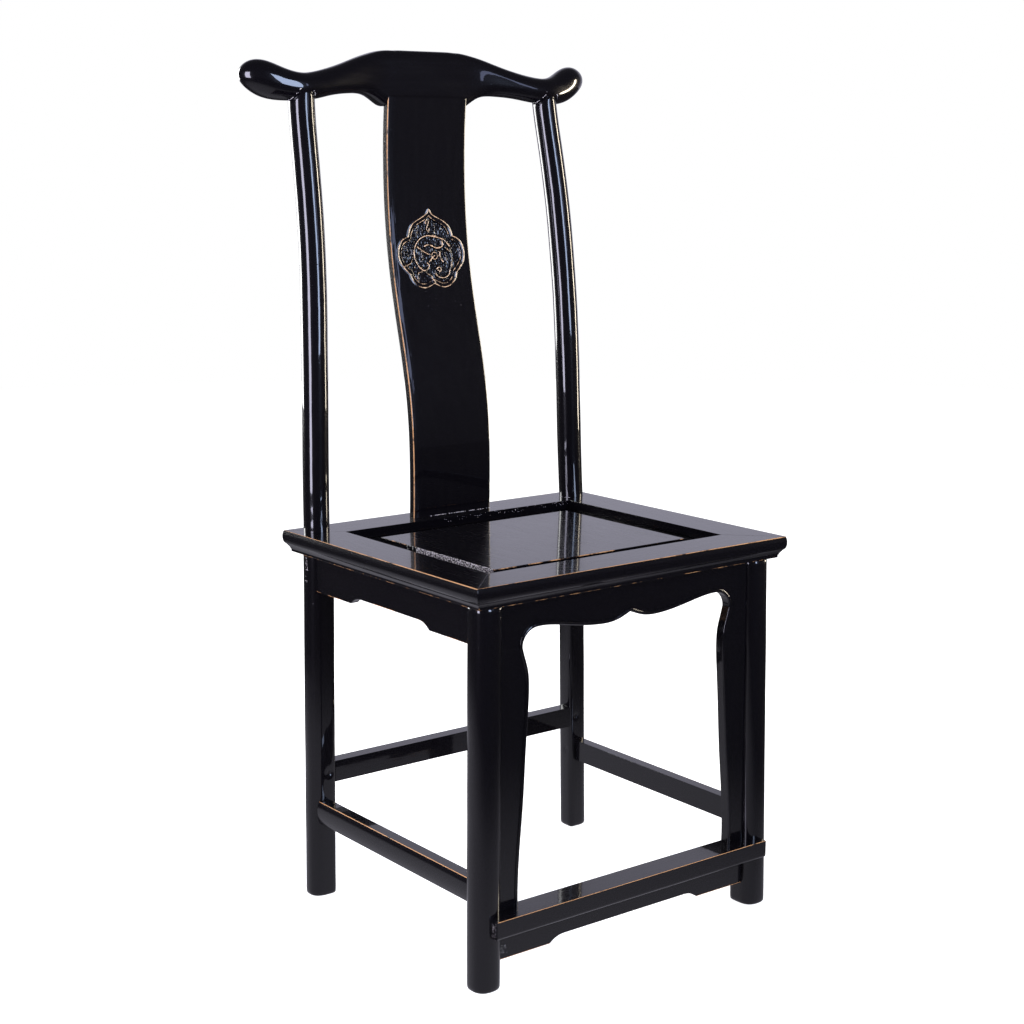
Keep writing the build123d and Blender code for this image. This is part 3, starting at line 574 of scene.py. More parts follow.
footrest_low, footrest_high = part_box("footrest")
footrest = planed_piece("footrest", "X", (
    ARRIS, lambda middle: middle.y < footrest_low.y + ARRIS and middle.z > footrest_high.z - ARRIS, "worn"))

lower_board_low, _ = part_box("footrest_apron")
lower_board = planed_piece("footrest_apron", "X", (
    RUBBED_ARRIS, lambda middle: middle.z < lower_board_low.z + ARRIS, "worn"))

# %% [markdown]
# ## The bead along the front opening
#
# A thin half-round bead follows the inner edge of the front boards. A carver leaves it standing when the
# ground is cut back. It could be cut into the boards with a boolean, but a swept bar keeps their faces
# whole. So the boards' own front edge is read from the model, shifted into the wood by half the bead's
# width, and swept as a round bar that lies half sunk in the face. Its crest is rubbed like an arris.

# %% The edge of the opening
OPENING_HALF_WIDTH = 172 * MM
APRON_CORNER = 0.3 * MM
APRON_HEAD = 3 * MM


def opening_edge(name, faces_opening):
    """The points of a board's front edge along the opening, in order."""
    bm = bmesh.new()
    bm.from_mesh(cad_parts[name].data)
    bmesh.ops.remove_doubles(bm, verts=bm.verts, dist=WELD)
    bmesh.ops.dissolve_limit(bm, angle_limit=FLAT, verts=bm.verts, edges=bm.edges)
    links = {}
    for edge in bm.edges:
        on_front = all(abs(corner.co.y - board_front) < TOUCH for corner in edge.verts)
        if on_front and any(faces_opening(face.normal, edge) for face in edge.link_faces):
            a, b = (tuple(corner.co) for corner in edge.verts)
            links.setdefault(a, []).append(b)
            links.setdefault(b, []).append(a)
    bm.free()
    ends = [point for point, others in links.items() if len(others) == 1]
    start = min(ends, key=lambda point: point[0])
    walk = [start]
    while True:
        onward = [point for point in links[walk[-1]] if len(walk) < 2 or point != walk[-2]]
        if not onward:
            return [Vector(point) for point in walk]
        walk.append(onward[0])


front_apron_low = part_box("front_apron")[0].z


def under_apron(normal, edge):
    """On the lower edge of the front apron, between its two lower corners."""
    highest = max(corner.co.z for corner in edge.verts)
    furthest = max(abs(corner.co.x) for corner in edge.verts)
    below_head = front_apron_low + APRON_CORNER < highest < seat_under - APRON_HEAD
    return abs(normal.y) < 0.1 and furthest < OPENING_HALF_WIDTH and below_head


bead_paths = {
    "front_apron": opening_edge("front_apron", under_apron),
    "front_bracket_left": opening_edge(
        "front_bracket_left", lambda normal, edge: abs(normal.y) < 0.1 and normal.x > 0.5),
    "front_bracket_right": opening_edge(
        "front_bracket_right", lambda normal, edge: abs(normal.y) < 0.1 and normal.x < -0.5),
}
print("points along the opening:", {name: len(points) for name, points in bead_paths.items()})

# %% Sweep the bead
BEAD_RADIUS = 2.4 * MM
BEAD_SUNK = 0.4 * MM
BEAD_CREST = -0.97

opening_middle = Vector((0.0, board_front, (footrest_high.z + seat_under) / 2))


def into_the_wood(points):
    """The path of a bead: the board's edge, shifted away from the opening and back into the face."""
    shifted = []
    for i, point in enumerate(points):
        along = points[min(i + 1, len(points) - 1)] - points[max(i - 1, 0)]
        into = Vector((along.z, 0, -along.x)).normalized()
        if into.dot(point - opening_middle) < 0:
            into = -into
        shifted.append(point + into * BEAD_RADIUS + Vector((0, BEAD_SUNK, 0)))
    return shifted


for name, points in bead_paths.items():
    line = bpy.data.curves.new(f"{name}_bead", "CURVE")
    line.dimensions = "3D"
    line.bevel_depth = BEAD_RADIUS
    line.bevel_resolution = 4
    line.use_fill_caps = True
    spline = line.splines.new("POLY")
    spline.points.add(len(points) - 1)
    for corner, point in zip(spline.points, into_the_wood(points)):
        corner.co = (*point, 1)
    bead = bpy.data.objects.new(f"{name}_bead", line)
    bpy.context.scene.collection.objects.link(bead)
    pick(bead)
    bpy.ops.object.convert(target="MESH")
    bead = bpy.context.object
    lacquered(bead, "X")
    rubbed = FINISHES["worn" if name == "front_bracket_right" else "little_worn"]
    for face in bead.data.polygons:
        face.material_index = rubbed if face.normal.y < BEAD_CREST else FINISHES["black"]
    bpy.ops.object.shade_smooth_by_angle(angle=SOFT)
    hand_over(bead)

# %% [markdown]
# ## Legs, back posts and crest rail
#
# These are shaped by hand with a spokeshave and scrapers, so their skin is one soft, slightly wavy surface.
# A voxel remesh turns the copy into an even skin of small squares, a Smooth modifier does the sanding, and
# a slow noise along each piece adds the shallow waves that a long highlight betrays.

# %% Legs, back posts and crest rail
SKIN_CELL = 1.6 * MM
SANDED_OFF = 0.014 * MM
WAVE_DEPTH = 0.28 * MM
WAVE_WIDTH = 22 * MM
WAVE_LENGTH = 70 * MM


def even_normals(piece, rounds=10):
    """Average each point's normal with its neighbours', so that a narrow highlight runs true."""
    ends = np.empty(len(piece.data.edges) * 2, np.int32)
    piece.data.edges.foreach_get("vertices", ends)
    ends = ends.reshape(-1, 2)
    normals = read_points(piece, "normal").astype(float)
    for _ in range(rounds):
        total = normals.copy()
        for here, there in (ends.T, ends.T[::-1]):
            for axis in range(3):
                total[:, axis] += np.bincount(here, normals[there, axis], len(normals))
        normals = total / np.linalg.norm(total, axis=1, keepdims=True)
    piece.data.normals_split_custom_set_from_vertices(normals)


def shaped_copy(name, grain, sanding=22):
    """A joiner's piece with one even, smooth and slightly wavy skin."""
    piece = joiners_copy(name, grain, planed=False)
    piece.data.remesh_voxel_size = SKIN_CELL
    bpy.ops.object.voxel_remesh()
    apply_modifier(piece, "SMOOTH", factor=0.5, iterations=sanding)
    lacquered(piece, grain)
    scale = np.full(3, 1 / WAVE_WIDTH)
    scale["XYZ".index(grain)] = 1 / WAVE_LENGTH
    places = read_points(piece)
    waves = np.array([noise.noise(Vector(place)) for place in places * scale])
    grow = SANDED_OFF * sanding + WAVE_DEPTH * waves[:, None]
    move_points(piece, places + read_points(piece, "normal") * grow)
    pick(piece)
    bpy.ops.object.shade_smooth()
    return piece


for hand in ("left", "right"):
    for name in (f"front_leg_{hand}", f"rear_post_{hand}"):
        leg = shaped_copy(name, "Z")
        even_normals(leg)
        hand_over(leg, name)

# %% [markdown]
# ## The crest rail
#
# No hand-shaped crest is a true mirror image: this one sags a little on the left and lifts at the right end,
# its shoulders are fuller, and the ends of its flat top are rounded off. A new outline would no longer fit
# the joinery, so the points of the skin are only moved up or down by a few soft humps.

# %% The crest rail
CREST_CROWN = 30 * MM
SAG_LEFT, SAG_FROM, SAG_TO = 2.8 * MM, 110 * MM, 230 * MM
LIFT_RIGHT, LIFT_FROM, LIFT_TO = 2.2 * MM, 210 * MM, 260 * MM
SHOULDER, SHOULDER_PLACE, SHOULDER_WIDTH = 1.5 * MM, 98 * MM, 30 * MM
CORNER_CUT, CORNER_PLACE, CORNER_WIDTH = 0.8 * MM, 53 * MM, 9 * MM
LEFT_RISE, LEFT_RISE_PLACE, LEFT_RISE_WIDTH = 0.8 * MM, -73 * MM, 14 * MM

crest_low, crest_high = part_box("crest_rail")


def ramp(values, start, end):
    """0 before start, 1 after end, and smooth between."""
    share = np.clip((values - start) / (end - start), 0.0, 1.0)
    return share * share * (3 - 2 * share)


def hump(values, middle, width):
    """1 at the middle, and fading out at about twice the width from it."""
    return np.exp(-((values - middle) / width) ** 2)


crest = shaped_copy("crest_rail", "X", sanding=12)
places = read_points(crest)
x, z = places[:, 0], places[:, 2].copy()
crown = ramp(z, crest_low.z + CREST_CROWN, crest_high.z)
places[:, 2] -= SAG_LEFT * ramp(-x, SAG_FROM, SAG_TO)
places[:, 2] += LIFT_RIGHT * ramp(x, LIFT_FROM, LIFT_TO)
places[:, 2] += SHOULDER * crown * hump(abs(x), SHOULDER_PLACE, SHOULDER_WIDTH)
places[:, 2] -= CORNER_CUT * crown * hump(abs(x), CORNER_PLACE, CORNER_WIDTH)
places[:, 2] += LEFT_RISE * crown * hump(x, LEFT_RISE_PLACE, LEFT_RISE_WIDTH)
move_points(crest, places)
even_normals(crest)
hand_over(crest, "crest_rail")

# %% [markdown]
# ## The splat and its medallion
#
# The splat is one board, sawn to an S, with a lobed medallion carved into its face. Sculpting by hand would
# give the carving, but not twice the same. So a flat grid, with its rows close together under the medallion
# only, gets the board's thickness, and its points are then moved: first onto the S, which is read from the
# joiner's model, and then in or out by the depth of the carving.

# %% The S of the splat
SPLAT_FOOT = seat_top - 2 * MM
SPLAT_HEAD = crest_high.z - 61 * MM
S_DEGREE = 9

splat_low, splat_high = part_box("back_splat")
half_width = splat_high.x
edge_places = {}
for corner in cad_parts["back_splat"].data.vertices:
    if corner.co.x < splat_low.x + TOUCH and seat_top - TOUCH < corner.co.z < SPLAT_HEAD:
        height = round(corner.co.z, 5)
        edge_places[height] = min(corner.co.y, edge_places.get(height, corner.co.y))
heights = np.array(sorted(edge_places))
measured = np.array([edge_places[height] for height in heights])
# The points lie by turns on the front and the back edge; a first S between the two tells them apart.
between = np.polynomial.Polynomial.fit(heights, measured, S_DEGREE)
in_front = measured < between(heights)
heights, measured = heights[in_front], measured[in_front]
bend = np.polynomial.Polynomial.fit(heights, measured, S_DEGREE)
print(f"the S misses the joiner's edge by {abs(bend(heights) - measured).max() / MM:.2f} mm at most")

# %% The splat's board
SPLAT_THICKNESS = 11.2 * MM
SCRAPER_MARK = 0.10 * MM
SCRAPER_WIDTH, SCRAPER_LENGTH = 2.6, 45  # in millimetres, as the drawing of the medallion is too
FACE_MARKED = 0.25
BORDER = 4 * MM
BORDER_DROP = 0.7 * MM
WORN_HOLLOW = 13 * MM
WORN_HOLLOW_DROP = 0.85 * MM
MEDALLION_MIDDLE = 857 * MM
MEDALLION_REACH = 60 * MM
CARVING_CELL = 0.75 * MM
PLAIN_CELL = 8 * MM

carving_foot, carving_head = MEDALLION_MIDDLE - MEDALLION_REACH, MEDALLION_MIDDLE + MEDALLION_REACH


def lines_between(start, end, spacing):
    """Evenly spread grid lines, about this far apart."""
    return np.linspace(start, end, round((end - start) / spacing) + 1)


columns = np.unique(np.concatenate([
    lines_between(-half_width, -half_width + BORDER, BORDER / 3),
    lines_between(-half_width + BORDER, half_width - BORDER, CARVING_CELL),
    lines_between(half_width - BORDER, half_width, BORDER / 3)]))
rows = np.unique(np.concatenate([
    lines_between(SPLAT_FOOT, carving_foot, PLAIN_CELL),
    lines_between(carving_foot, carving_head, CARVING_CELL),
    lines_between(carving_head, SPLAT_HEAD, PLAIN_CELL)]))

bpy.ops.object.select_all(action="DESELECT")
bpy.ops.mesh.primitive_grid_add(x_subdivisions=len(columns) - 1, y_subdivisions=len(rows) - 1, size=1.0)
splat = bpy.context.object
splat.name = "back_splat_carved"
places = read_points(splat)
column = np.rint((places[:, 0] + 0.5) * (len(columns) - 1)).astype(int)
row = np.rint((places[:, 1] + 0.5) * (len(rows) - 1)).astype(int)
move_points(splat, np.stack([columns[column], np.zeros(len(row)), rows[row]], axis=1))
apply_modifier(splat, "SOLIDIFY", thickness=SPLAT_THICKNESS, offset=-1.0)

places = read_points(splat).astype(float)
right_border = np.clip((places[:, 0] - half_width) / BORDER + 1, 0, 1)
left_border = np.clip((-places[:, 0] - half_width) / WORN_HOLLOW + 1, 0, 1)
scrapes = np.array([noise.noise(Vector((x / SCRAPER_WIDTH, z / SCRAPER_LENGTH, 0.0)))
                    for x, z in places[:, ::2] / MM])
drop = BORDER_DROP * right_border ** 2 + WORN_HOLLOW_DROP * left_border ** 2
drop += SCRAPER_MARK * scrapes * (FACE_MARKED + left_border)
front = places[:, 1] < SPLAT_THICKNESS / 2
places[:, 1] += bend(places[:, 2]) + drop * front
move_points(splat, places)
print(f"{len(columns)} columns and {len(rows)} rows of points on the splat's face")

# %% [markdown]
# ## The plain back of the splat
#
# Nobody carves the back, yet the grid made it as fine as the front. Its faces are found by their normal and
# dissolved into the few that the S needs.

# %% The plain back of the splat
pick(splat)
bpy.ops.object.mode_set(mode="EDIT")
bpy.ops.mesh.select_mode(type="FACE")
bpy.ops.mesh.select_all(action="DESELECT")
bm = bmesh.from_edit_mesh(splat.data)
for face in bm.faces:
    face.select_set(face.normal.y > 0.9)
bmesh.update_edit_mesh(splat.data)
bpy.ops.mesh.dissolve_limited(angle_limit=FLAT)
bpy.ops.object.mode_set(mode="OBJECT")
print("board with a fine face and a plain back:", len(splat.data.polygons), "faces")

# %% [markdown]
# ## Carved lacquer
#
# Over a carving the lacquer pools in the hollows and rubs off the crests. The points of the mesh carry a
# number, wear, which the carving writes below. The material turns it into pale elm with a ragged edge, and
# a thin coat of old polish keeps that elm glinting.

# %% Carved lacquer
RAGGED_EDGE = 2.5 * MM

carved, tree, output = new_material("carved_lacquer_rubbed_on_its_crests")
place = add_node(tree, "TexCoord").outputs["Object"]
wear_here = add_node(tree, "Attribute", {"attribute_name": "wear"}).outputs["Fac"]
ragged = add_node(tree, "TexNoise", Vector=place, Scale=1 / RAGGED_EDGE, Detail=4.0,
                  Roughness=0.7).outputs["Fac"]
edge = add_node(tree, "Math", {"operation": "ADD"}, input_0=wear_here, input_1=ragged).outputs[0]
bare = add_node(tree, "MapRange", Value=edge, From_Min=0.80, From_Max=1.02).outputs["Result"]
shade = add_node(tree, "MixRGB", Fac=ragged, Color1=colour("9a6435"), Color2=colour("e6c8a4")).outputs[0]
elm = add_node(tree, "BsdfPrincipled", Base_Color=shade, Roughness=0.35, Coat_Weight=0.6,
               Coat_Roughness=0.1).outputs[0]
mixed = add_node(tree, "MixShader", Fac=bare, input_1=lacquer_shader(tree, "Z"), input_2=elm).outputs[0]
tree.links.new(mixed, output.inputs["Surface"])
lacquered(splat, "Z")
splat.data.materials.append(carved)
print("finishes on the splat:", ", ".join(splat.data.materials.keys()))

# %% [markdown]
# ## The splat's long arrises
#
# The left front arris is the one that shows, as a nearly unbroken tan line from seat to crest. It is eased
# wider than the others and rubbed through. The ends of the board stay sharp, because they are let in.

# %% The splat's long arrises
SPLAT_ARRIS = 0.95 * MM


def on_long_edge(middle):
    """On the left or right edge of the splat, away from its two ends."""
    clear_of_ends = SPLAT_FOOT + MM < middle.z < SPLAT_HEAD - MM
    return clear_of_ends and abs(middle.x) > half_width - TOUCH


ease(splat, SPLAT_ARRIS, lambda middle: on_long_edge(middle) and middle.x < 0
     and middle.y - bend(middle.z) < SPLAT_THICKNESS / 2, "worn")
ease(splat, ARRIS, on_long_edge)
print("splat with its arrises eased:", len(splat.data.polygons), "faces")

# %% [markdown]
# ## The medallion
#
# The frame is a lobed outline with a pointed head: a rubbed ridge, a groove, and a fainter line inside it.
# In the middle a young dragon, the chi of old bronzes, curls round its own head, and small flames and
# clouds fill the lobes. A carver draws each form as one pull of the gouge, and so does this cell: half the
# width of a stroke, how far its crest is rubbed, and its path in millimetres from the middle. What stands
# proudest has lost its lacquer, so the same paths also say how worn each point is. The outline is drawn for
# the right half and mirrored. Corners of a path are cut twice, which rounds it.

# %% The drawing of the medallion
LOBES = [
    [(0, 55.2), (4.2, 49), (11, 45), (22.5, 39.8), (30.3, 34), (34.6, 26), (36.6, 19)],
    [(36.6, 19), (45.5, 16), (51.8, 8.2), (54.4, -1.5), (53.8, -9.5), (52.2, -15), (45.6, -23.5),
     (38.4, -30.5)],
    [(38.4, -30.5), (37.1, -35.8), (32, -43), (25, -48), (14.8, -49.8), (6.4, -47), (0, -43.8)],
]
STROKES = [
    (1.5, 1.0, [(23, 14), (13.5, 17.5), (5.5, 18.5), (-1.5, 20.5), (-11.5, 19), (-18, 15.5), (-25, 8),
                (-28.5, -1), (-28, -9.5), (-25.5, -16), (-22, -21.5), (-17.5, -25), (-15, -27), (-10, -25.5),
                (-6, -22.5), (-5, -19), (-8, -16.5)]),
    (1.1, 0.35, [(-24.5, 14.5), (-29.5, 8), (-32, 1), (-31, -6)]),
    (1.6, 1.0, [(-22, 5.5), (-17.5, 2), (-10.5, -2), (-4.5, -5), (-0.5, -5)]),
    (1.8, 1.0, [(-10, 6), (-4, 8.5), (2, 6.5), (8, 3), (15, 3.5), (20.5, 5.5), (19.5, 12.5)]),
    (1.3, 0.8, [(10, -7), (8.5, -11), (5, -12), (1.5, -10.5), (0.2, -7), (1.5, -3.5), (5, -2.2),
                (8.5, -3.5), (10, -7)]),
    (1.7, 1.0, [(4.8, -7), (5.4, -7.4)]),
    (1.1, 0.8, [(11, -8.5), (16, -2.5), (11.5, -1.5)]),
    (1.9, 1.0, [(14.5, -2.5), (14, -8.5), (15.5, -12.5), (18.5, -15.5)]),
    (2.0, 0.8, [(-4.5, -15), (0, -11), (2.5, -8.5)]),
    (2.7, 0.55, [(23.5, 4), (28.5, 0.5), (32, -4.5), (33.5, -12), (31.5, -20.5), (28, -27.5)]),
    (2.0, 0.75, [(28, -27.5), (26.5, -33.5), (18, -37.5), (10, -36.5), (4, -32.5), (3, -27.5), (7, -24),
                 (12.5, -22), (14, -26.5), (11, -29)]),
    (2.4, 0.9, [(8.4, -26.5), (9.6, -27)]),
    (2.0, 1.0, [(24, 13), (31.5, 5.5)]),
    (1.2, 0.5, [(33, 1.5), (38.5, 7.5)]),
    (1.4, 0.9, [(-2.5, -34.5), (-2, -38), (0.5, -43)]),
    (1.3, 0.7, [(-25, -39.5), (-25.5, -34), (-26, -31), (-22.5, -28.5), (-18, -28)]),
    (1.4, 0.5, [(-13, -28.5), (-7.5, -32), (-2.5, -34.5)]),
    (1.4, 0.6, [(-47, -19.5), (-39.5, -18.5), (-33.5, -14.5), (-30.5, -7.5)]),
    (1.6, 0.8, [(-30, -21), (-29.4, -21.6)]),
    (1.5, 0.9, [(-5.5, 36), (-6, 40), (-2.5, 42), (-0.5, 39), (-2.5, 34), (-5, 30.5), (-4, 26.5),
                (-1.5, 25.5), (0, 30)]),
    (1.3, 0.9, [(3.5, 20.5), (9.5, 19.5)]),
    (1.2, 0.35, [(-41, 7.5), (-38.5, 0.5), (-41, -3.5), (-38, -7)]),
    (1.2, 0.30, [(-45, 4), (-43, -3), (-44.5, -9)]),
    (1.2, 0.35, [(-22, 33), (-20, 27), (-21, 22)]),
    (1.1, 0.30, [(-13, 31), (-12, 26)]),
    (1.1, 0.30, [(8, 35), (9, 30), (7, 26)]),
    (1.2, 0.30, [(-17, 4), (-14, -8), (-17, -14)]),
    (1.3, 0.30, [(22, -4), (25, -12), (22, -20)]),
]
print(len(STROKES), "pulls of the gouge inside a frame of", 2 * len(LOBES), "arcs")

# %% Paths and distances
BEYOND_ALL = 999.0


def cut_corners(points, rounds=2):
    """A path with its corners cut, and its ends where they were."""
    path = np.array(points, float)
    for _ in range(rounds):
        cuts = np.stack([path[:-1] * 0.75 + path[1:] * 0.25, path[:-1] * 0.25 + path[1:] * 0.75], axis=1)
        path = np.concatenate([path[:1], cuts.reshape(-1, 2)[1:-1], path[-1:]])
    return path


def distance_to(path, spots):
    """How far each spot is from the nearest stretch of a path."""
    nearest = np.full(len(spots), BEYOND_ALL)
    for start, end in zip(path[:-1], path[1:]):
        along = end - start
        share = np.clip((spots - start) @ along / (along @ along), 0.0, 1.0)
        nearest = np.minimum(nearest, np.linalg.norm(spots - start - share[:, None] * along, axis=1))
    return nearest


def inside_of(outline, spots):
    """Whether each spot lies within a closed outline."""
    inside = np.zeros(len(spots), bool)
    for (x0, z0), (x1, z1) in zip(outline[:-1], outline[1:]):
        if z0 != z1:
            crosses = (z0 > spots[:, 1]) != (z1 > spots[:, 1])
            inside ^= crosses & (spots[:, 0] < x0 + (spots[:, 1] - z0) * (x1 - x0) / (z1 - z0))
    return inside


def crest_of(distance, half_width):
    """1 in the middle of a round stroke, 0 at its sides."""
    return np.clip(1 - (distance / half_width) ** 2, 0, 1)


half_rim = np.concatenate([cut_corners(lobe) for lobe in LOBES])
rim = np.concatenate([half_rim, half_rim[::-1] * (-1, 1)])
rim = rim[np.append(True, np.any(np.diff(rim, axis=0) != 0, axis=1))]
print("points on the rounded outline:", len(rim))

# %% [markdown]
# ## Carving in depth
#
# Each point of the face looks up how far it lies inside the outline and from every stroke, in millimetres.
# From the rim inwards come the ridge, the groove, the faint line and the sunk ground with its gouge marks.
# The strokes rise from that ground. Rubbing is uneven, as a thumb leaves it, so a slow noise scales it.

# %% The depths of the carving
CARVED_HALF = 58
RIM_HALF_WIDTH, RIM_HEIGHT, RIM_CREST = 1.6, 0.6, 0.62
GROOVE_IN, GROOVE_HALF_WIDTH, GROOVE_DEPTH = 2.9, 1.3, 1.5
LINE_IN, LINE_HALF_WIDTH = 4.9, 0.8
GROUND_IN, GROUND_LEVEL_IN, GROUND_DEPTH = 5.5, 6.6, 1.8
GOUGES_FULL_IN = 7.5
GOUGE_WIDTH, GOUGE_LENGTH, GOUGE_MARK = 1.9, 3.2, 0.5
STROKE_RISE = 2.0

places = read_points(splat).astype(float)
spots = np.stack([places[:, 0], places[:, 2] - MEDALLION_MIDDLE], axis=1) / MM
touched = np.flatnonzero((places[:, 1] - bend(places[:, 2]) < SPLAT_THICKNESS / 2)
                         & (abs(spots[:, 0]) < CARVED_HALF) & (abs(spots[:, 1]) < CARVED_HALF))
spots = spots[touched]
from_rim = distance_to(rim, spots)
inward = np.where(inside_of(rim, spots), from_rim, -from_rim)
gouges = np.array([noise.noise(Vector((x / GOUGE_WIDTH, z / GOUGE_LENGTH, 0.0))) for x, z in spots])
ground = (GOUGE_MARK * gouges * ramp(inward, GROUND_IN, GOUGES_FULL_IN)
          - GROUND_DEPTH * ramp(inward, GROUND_IN, GROUND_LEVEL_IN))
relief = (RIM_HEIGHT * crest_of(inward, RIM_HALF_WIDTH)
          - GROOVE_DEPTH * crest_of(inward - GROOVE_IN, GROOVE_HALF_WIDTH) + ground)
print(f"the ground lies {-ground.min():.1f} mm deep at most")

# %% Carve the medallion
THUMB = 7
RIM_RUBBED, LINE_RUBBED, GOUGES_RUBBED = 0.9, 0.5, 0.22
RUBBED_FROM, RUBBED_FULL = 6, 8
CREST_SHARE = 0.45
LEAST_RUBBED, UNEVEN_RUBBED = 0.46, 0.8

wear = np.maximum(RIM_RUBBED * crest_of(inward, RIM_CREST),
                  LINE_RUBBED * crest_of(inward - LINE_IN, LINE_HALF_WIDTH))
gouge_ridges = np.clip(gouges * 3 - 0.6, 0, 1)
wear = np.maximum(wear, GOUGES_RUBBED * gouge_ridges * ramp(inward, RUBBED_FROM, RUBBED_FULL))
for stroke_half_width, rubbed, points in STROKES:
    distance = distance_to(cut_corners(points), spots)
    crown = crest_of(distance, stroke_half_width)
    relief = np.maximum(relief, ground + STROKE_RISE * np.sqrt(crown) * (crown > 0))
    wear = np.maximum(wear, rubbed * crest_of(distance, CREST_SHARE * stroke_half_width))
rubbing = np.array([0.5 + noise.noise(Vector((x / THUMB, z / THUMB, 3.0))) for x, z in spots])
wear *= LEAST_RUBBED + UNEVEN_RUBBED * np.clip(rubbing, 0, 1)
places[touched, 1] -= relief * MM
move_points(splat, places)
wear_of_points = np.zeros(len(places), np.float32)
wear_of_points[touched] = wear
splat.data.attributes.new("wear", "FLOAT", "POINT").data.foreach_set("value", wear_of_points)
print(f"carved {len(touched)} points, {relief.min():.1f} to {relief.max():.1f} mm")

# %% Give the medallion its finish
faces = splat.data.polygons
middles, finishes = np.empty(len(faces) * 3, np.float32), np.empty(len(faces), np.int32)
faces.foreach_get("center", middles)
faces.foreach_get("material_index", finishes)
middles = middles.reshape(-1, 3)
in_front = middles[:, 1] - bend(middles[:, 2]) < SPLAT_THICKNESS / 2
in_medallion = ((abs(middles[:, 0]) < CARVED_HALF * MM)
                & (abs(middles[:, 2] - MEDALLION_MIDDLE) < CARVED_HALF * MM))
finishes[in_front & in_medallion] = splat.data.materials.find(carved.name)
faces.foreach_set("material_index", finishes)
flat_shading(splat)
hand_over(splat, "back_splat")

# %% [markdown]
# ## Old polish in the corners, with painted glints
#
# Wax and dust gather where a cloth can't reach: on the seat's rear wall, at the foot of the splat, and
# round the posts under the crest rail and on the seat. They dry to small crumbs. Their near-white colour is
# partly the wax itself and partly a painted glint, which stands in for the sparkle of rough lacquer there.
# A bump in the lacquer would lie too flat to catch light, so each crumb is a body of its own. One is
# modelled from a ball of twenty faces, flattened and dented. A seeded dice makes its dents, and later the
# scatter of its copies, the same each time.

# %% One crumb of polish
CRUMB_RADIUS = 0.62 * MM
WAX_AND_GLINT_CLOUD = 3 * MM

# Grey to near-white patches: the colour of dried wax, and also a painted glint for the sparkle in these
# corners.
wax_and_painted_glints, tree, output = new_material("dried_wax_dust_and_painted_glints")
place = add_node(tree, "TexCoord").outputs["Object"]
patches = add_node(tree, "TexNoise", Vector=place, Scale=1 / WAX_AND_GLINT_CLOUD, Detail=2.0).outputs["Fac"]
shade = add_node(tree, "MixRGB", Fac=patches, Color1=colour("6b6468"), Color2=colour("e6e0e4")).outputs[0]
wax = add_node(tree, "BsdfPrincipled", Base_Color=shade, Roughness=0.4, Coat_Weight=0.5,
               Coat_Roughness=0.1)
tree.links.new(wax.outputs[0], output.inputs["Surface"])

dice = random.Random(11)
bpy.ops.object.select_all(action="DESELECT")
bpy.ops.mesh.primitive_ico_sphere_add(subdivisions=1, radius=CRUMB_RADIUS, location=(0, 0, 0))
crumb = bpy.context.object
crumb.name = "crumb"
bpy.ops.object.mode_set(mode="EDIT")
bpy.ops.transform.resize(value=(1.0, 0.8, 0.7))
bpy.ops.object.mode_set(mode="OBJECT")
places = read_points(crumb)
move_points(crumb, places * np.array([[dice.uniform(0.75, 1.25)] for _ in places]))
crumb.data.materials.append(wax_and_painted_glints)
print("a crumb has", len(crumb.data.polygons), "faces")

# %% [markdown]
# ## Dropping the crumbs
#
# A crumb placed by hand could hang in the air. So each falls from a spot near a line, as a ray, onto the
# piece that lies there, and takes its place and its upright from what it hits. Besides the seat and the
# posts, crumbs sit on the left post under the seat, on the middle of the front bead, at the left end of the
# footrest and of the board under it, and a few lie below the medallion.

# %% Dropping a crumb
DOWN, UP, BACK, TO_RIGHT = (0, 0, -1), (0, 0, 1), (0, 1, 0), (1, 0, 0)
DROP_FROM = 10 * MM
DROP_REACH = 40 * MM

crumbs = []


def drop_crumbs(piece, start, end, count, spread, toward, size=1.0):
    """Drop crumbs onto a piece near the line from start to end; toward is the way they fall."""
    start, end, toward = Vector(start), Vector(end), Vector(toward)
    for _ in range(count):
        above = start.lerp(end, dice.random()) + Vector([dice.uniform(-s, s) for s in spread]) * MM
        found, place, normal, _ = piece.ray_cast(above - toward * DROP_FROM, toward, distance=DROP_REACH)
        if found:
            copy = bpy.data.objects.new("crumb", crumb.data.copy())
            copy.location = place
            copy.rotation_euler = Vector((0, 0, 1)).rotation_difference(normal).to_euler()
            copy.scale = [dice.uniform(0.4, 1.2) * size] * 3
            bpy.context.scene.collection.objects.link(copy)
            crumbs.append(copy)


def finished(name):
    """The finished piece made from a joiner's piece."""
    return bpy.data.objects[f"{name}_finished"]


bpy.context.view_layer.update()

# %% Crumbs on the seat
rear_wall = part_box("seat_rail_rear")[0].y - 2 * MM
wall_z = seat_top - 3 * MM
drop_crumbs(finished("seat_rail_rear"), (-40 * MM, rear_wall, wall_z), (186 * MM, rear_wall, wall_z),
            60, (0, 0, 3), BACK, 0.8)
foot_y = float(bend(seat_top)) - 0.8 * MM
drop_crumbs(finished("seat_rail_rear"), (-44 * MM, foot_y, seat_top), (half_width, foot_y, seat_top),
            60, (0, 0.7, 0), DOWN, 1.5)
print(len(crumbs), "crumbs so far")

# %% Crumbs round the posts
CRUMBS_ROUND_POST = 26
POST_BAND = 1.2 * MM

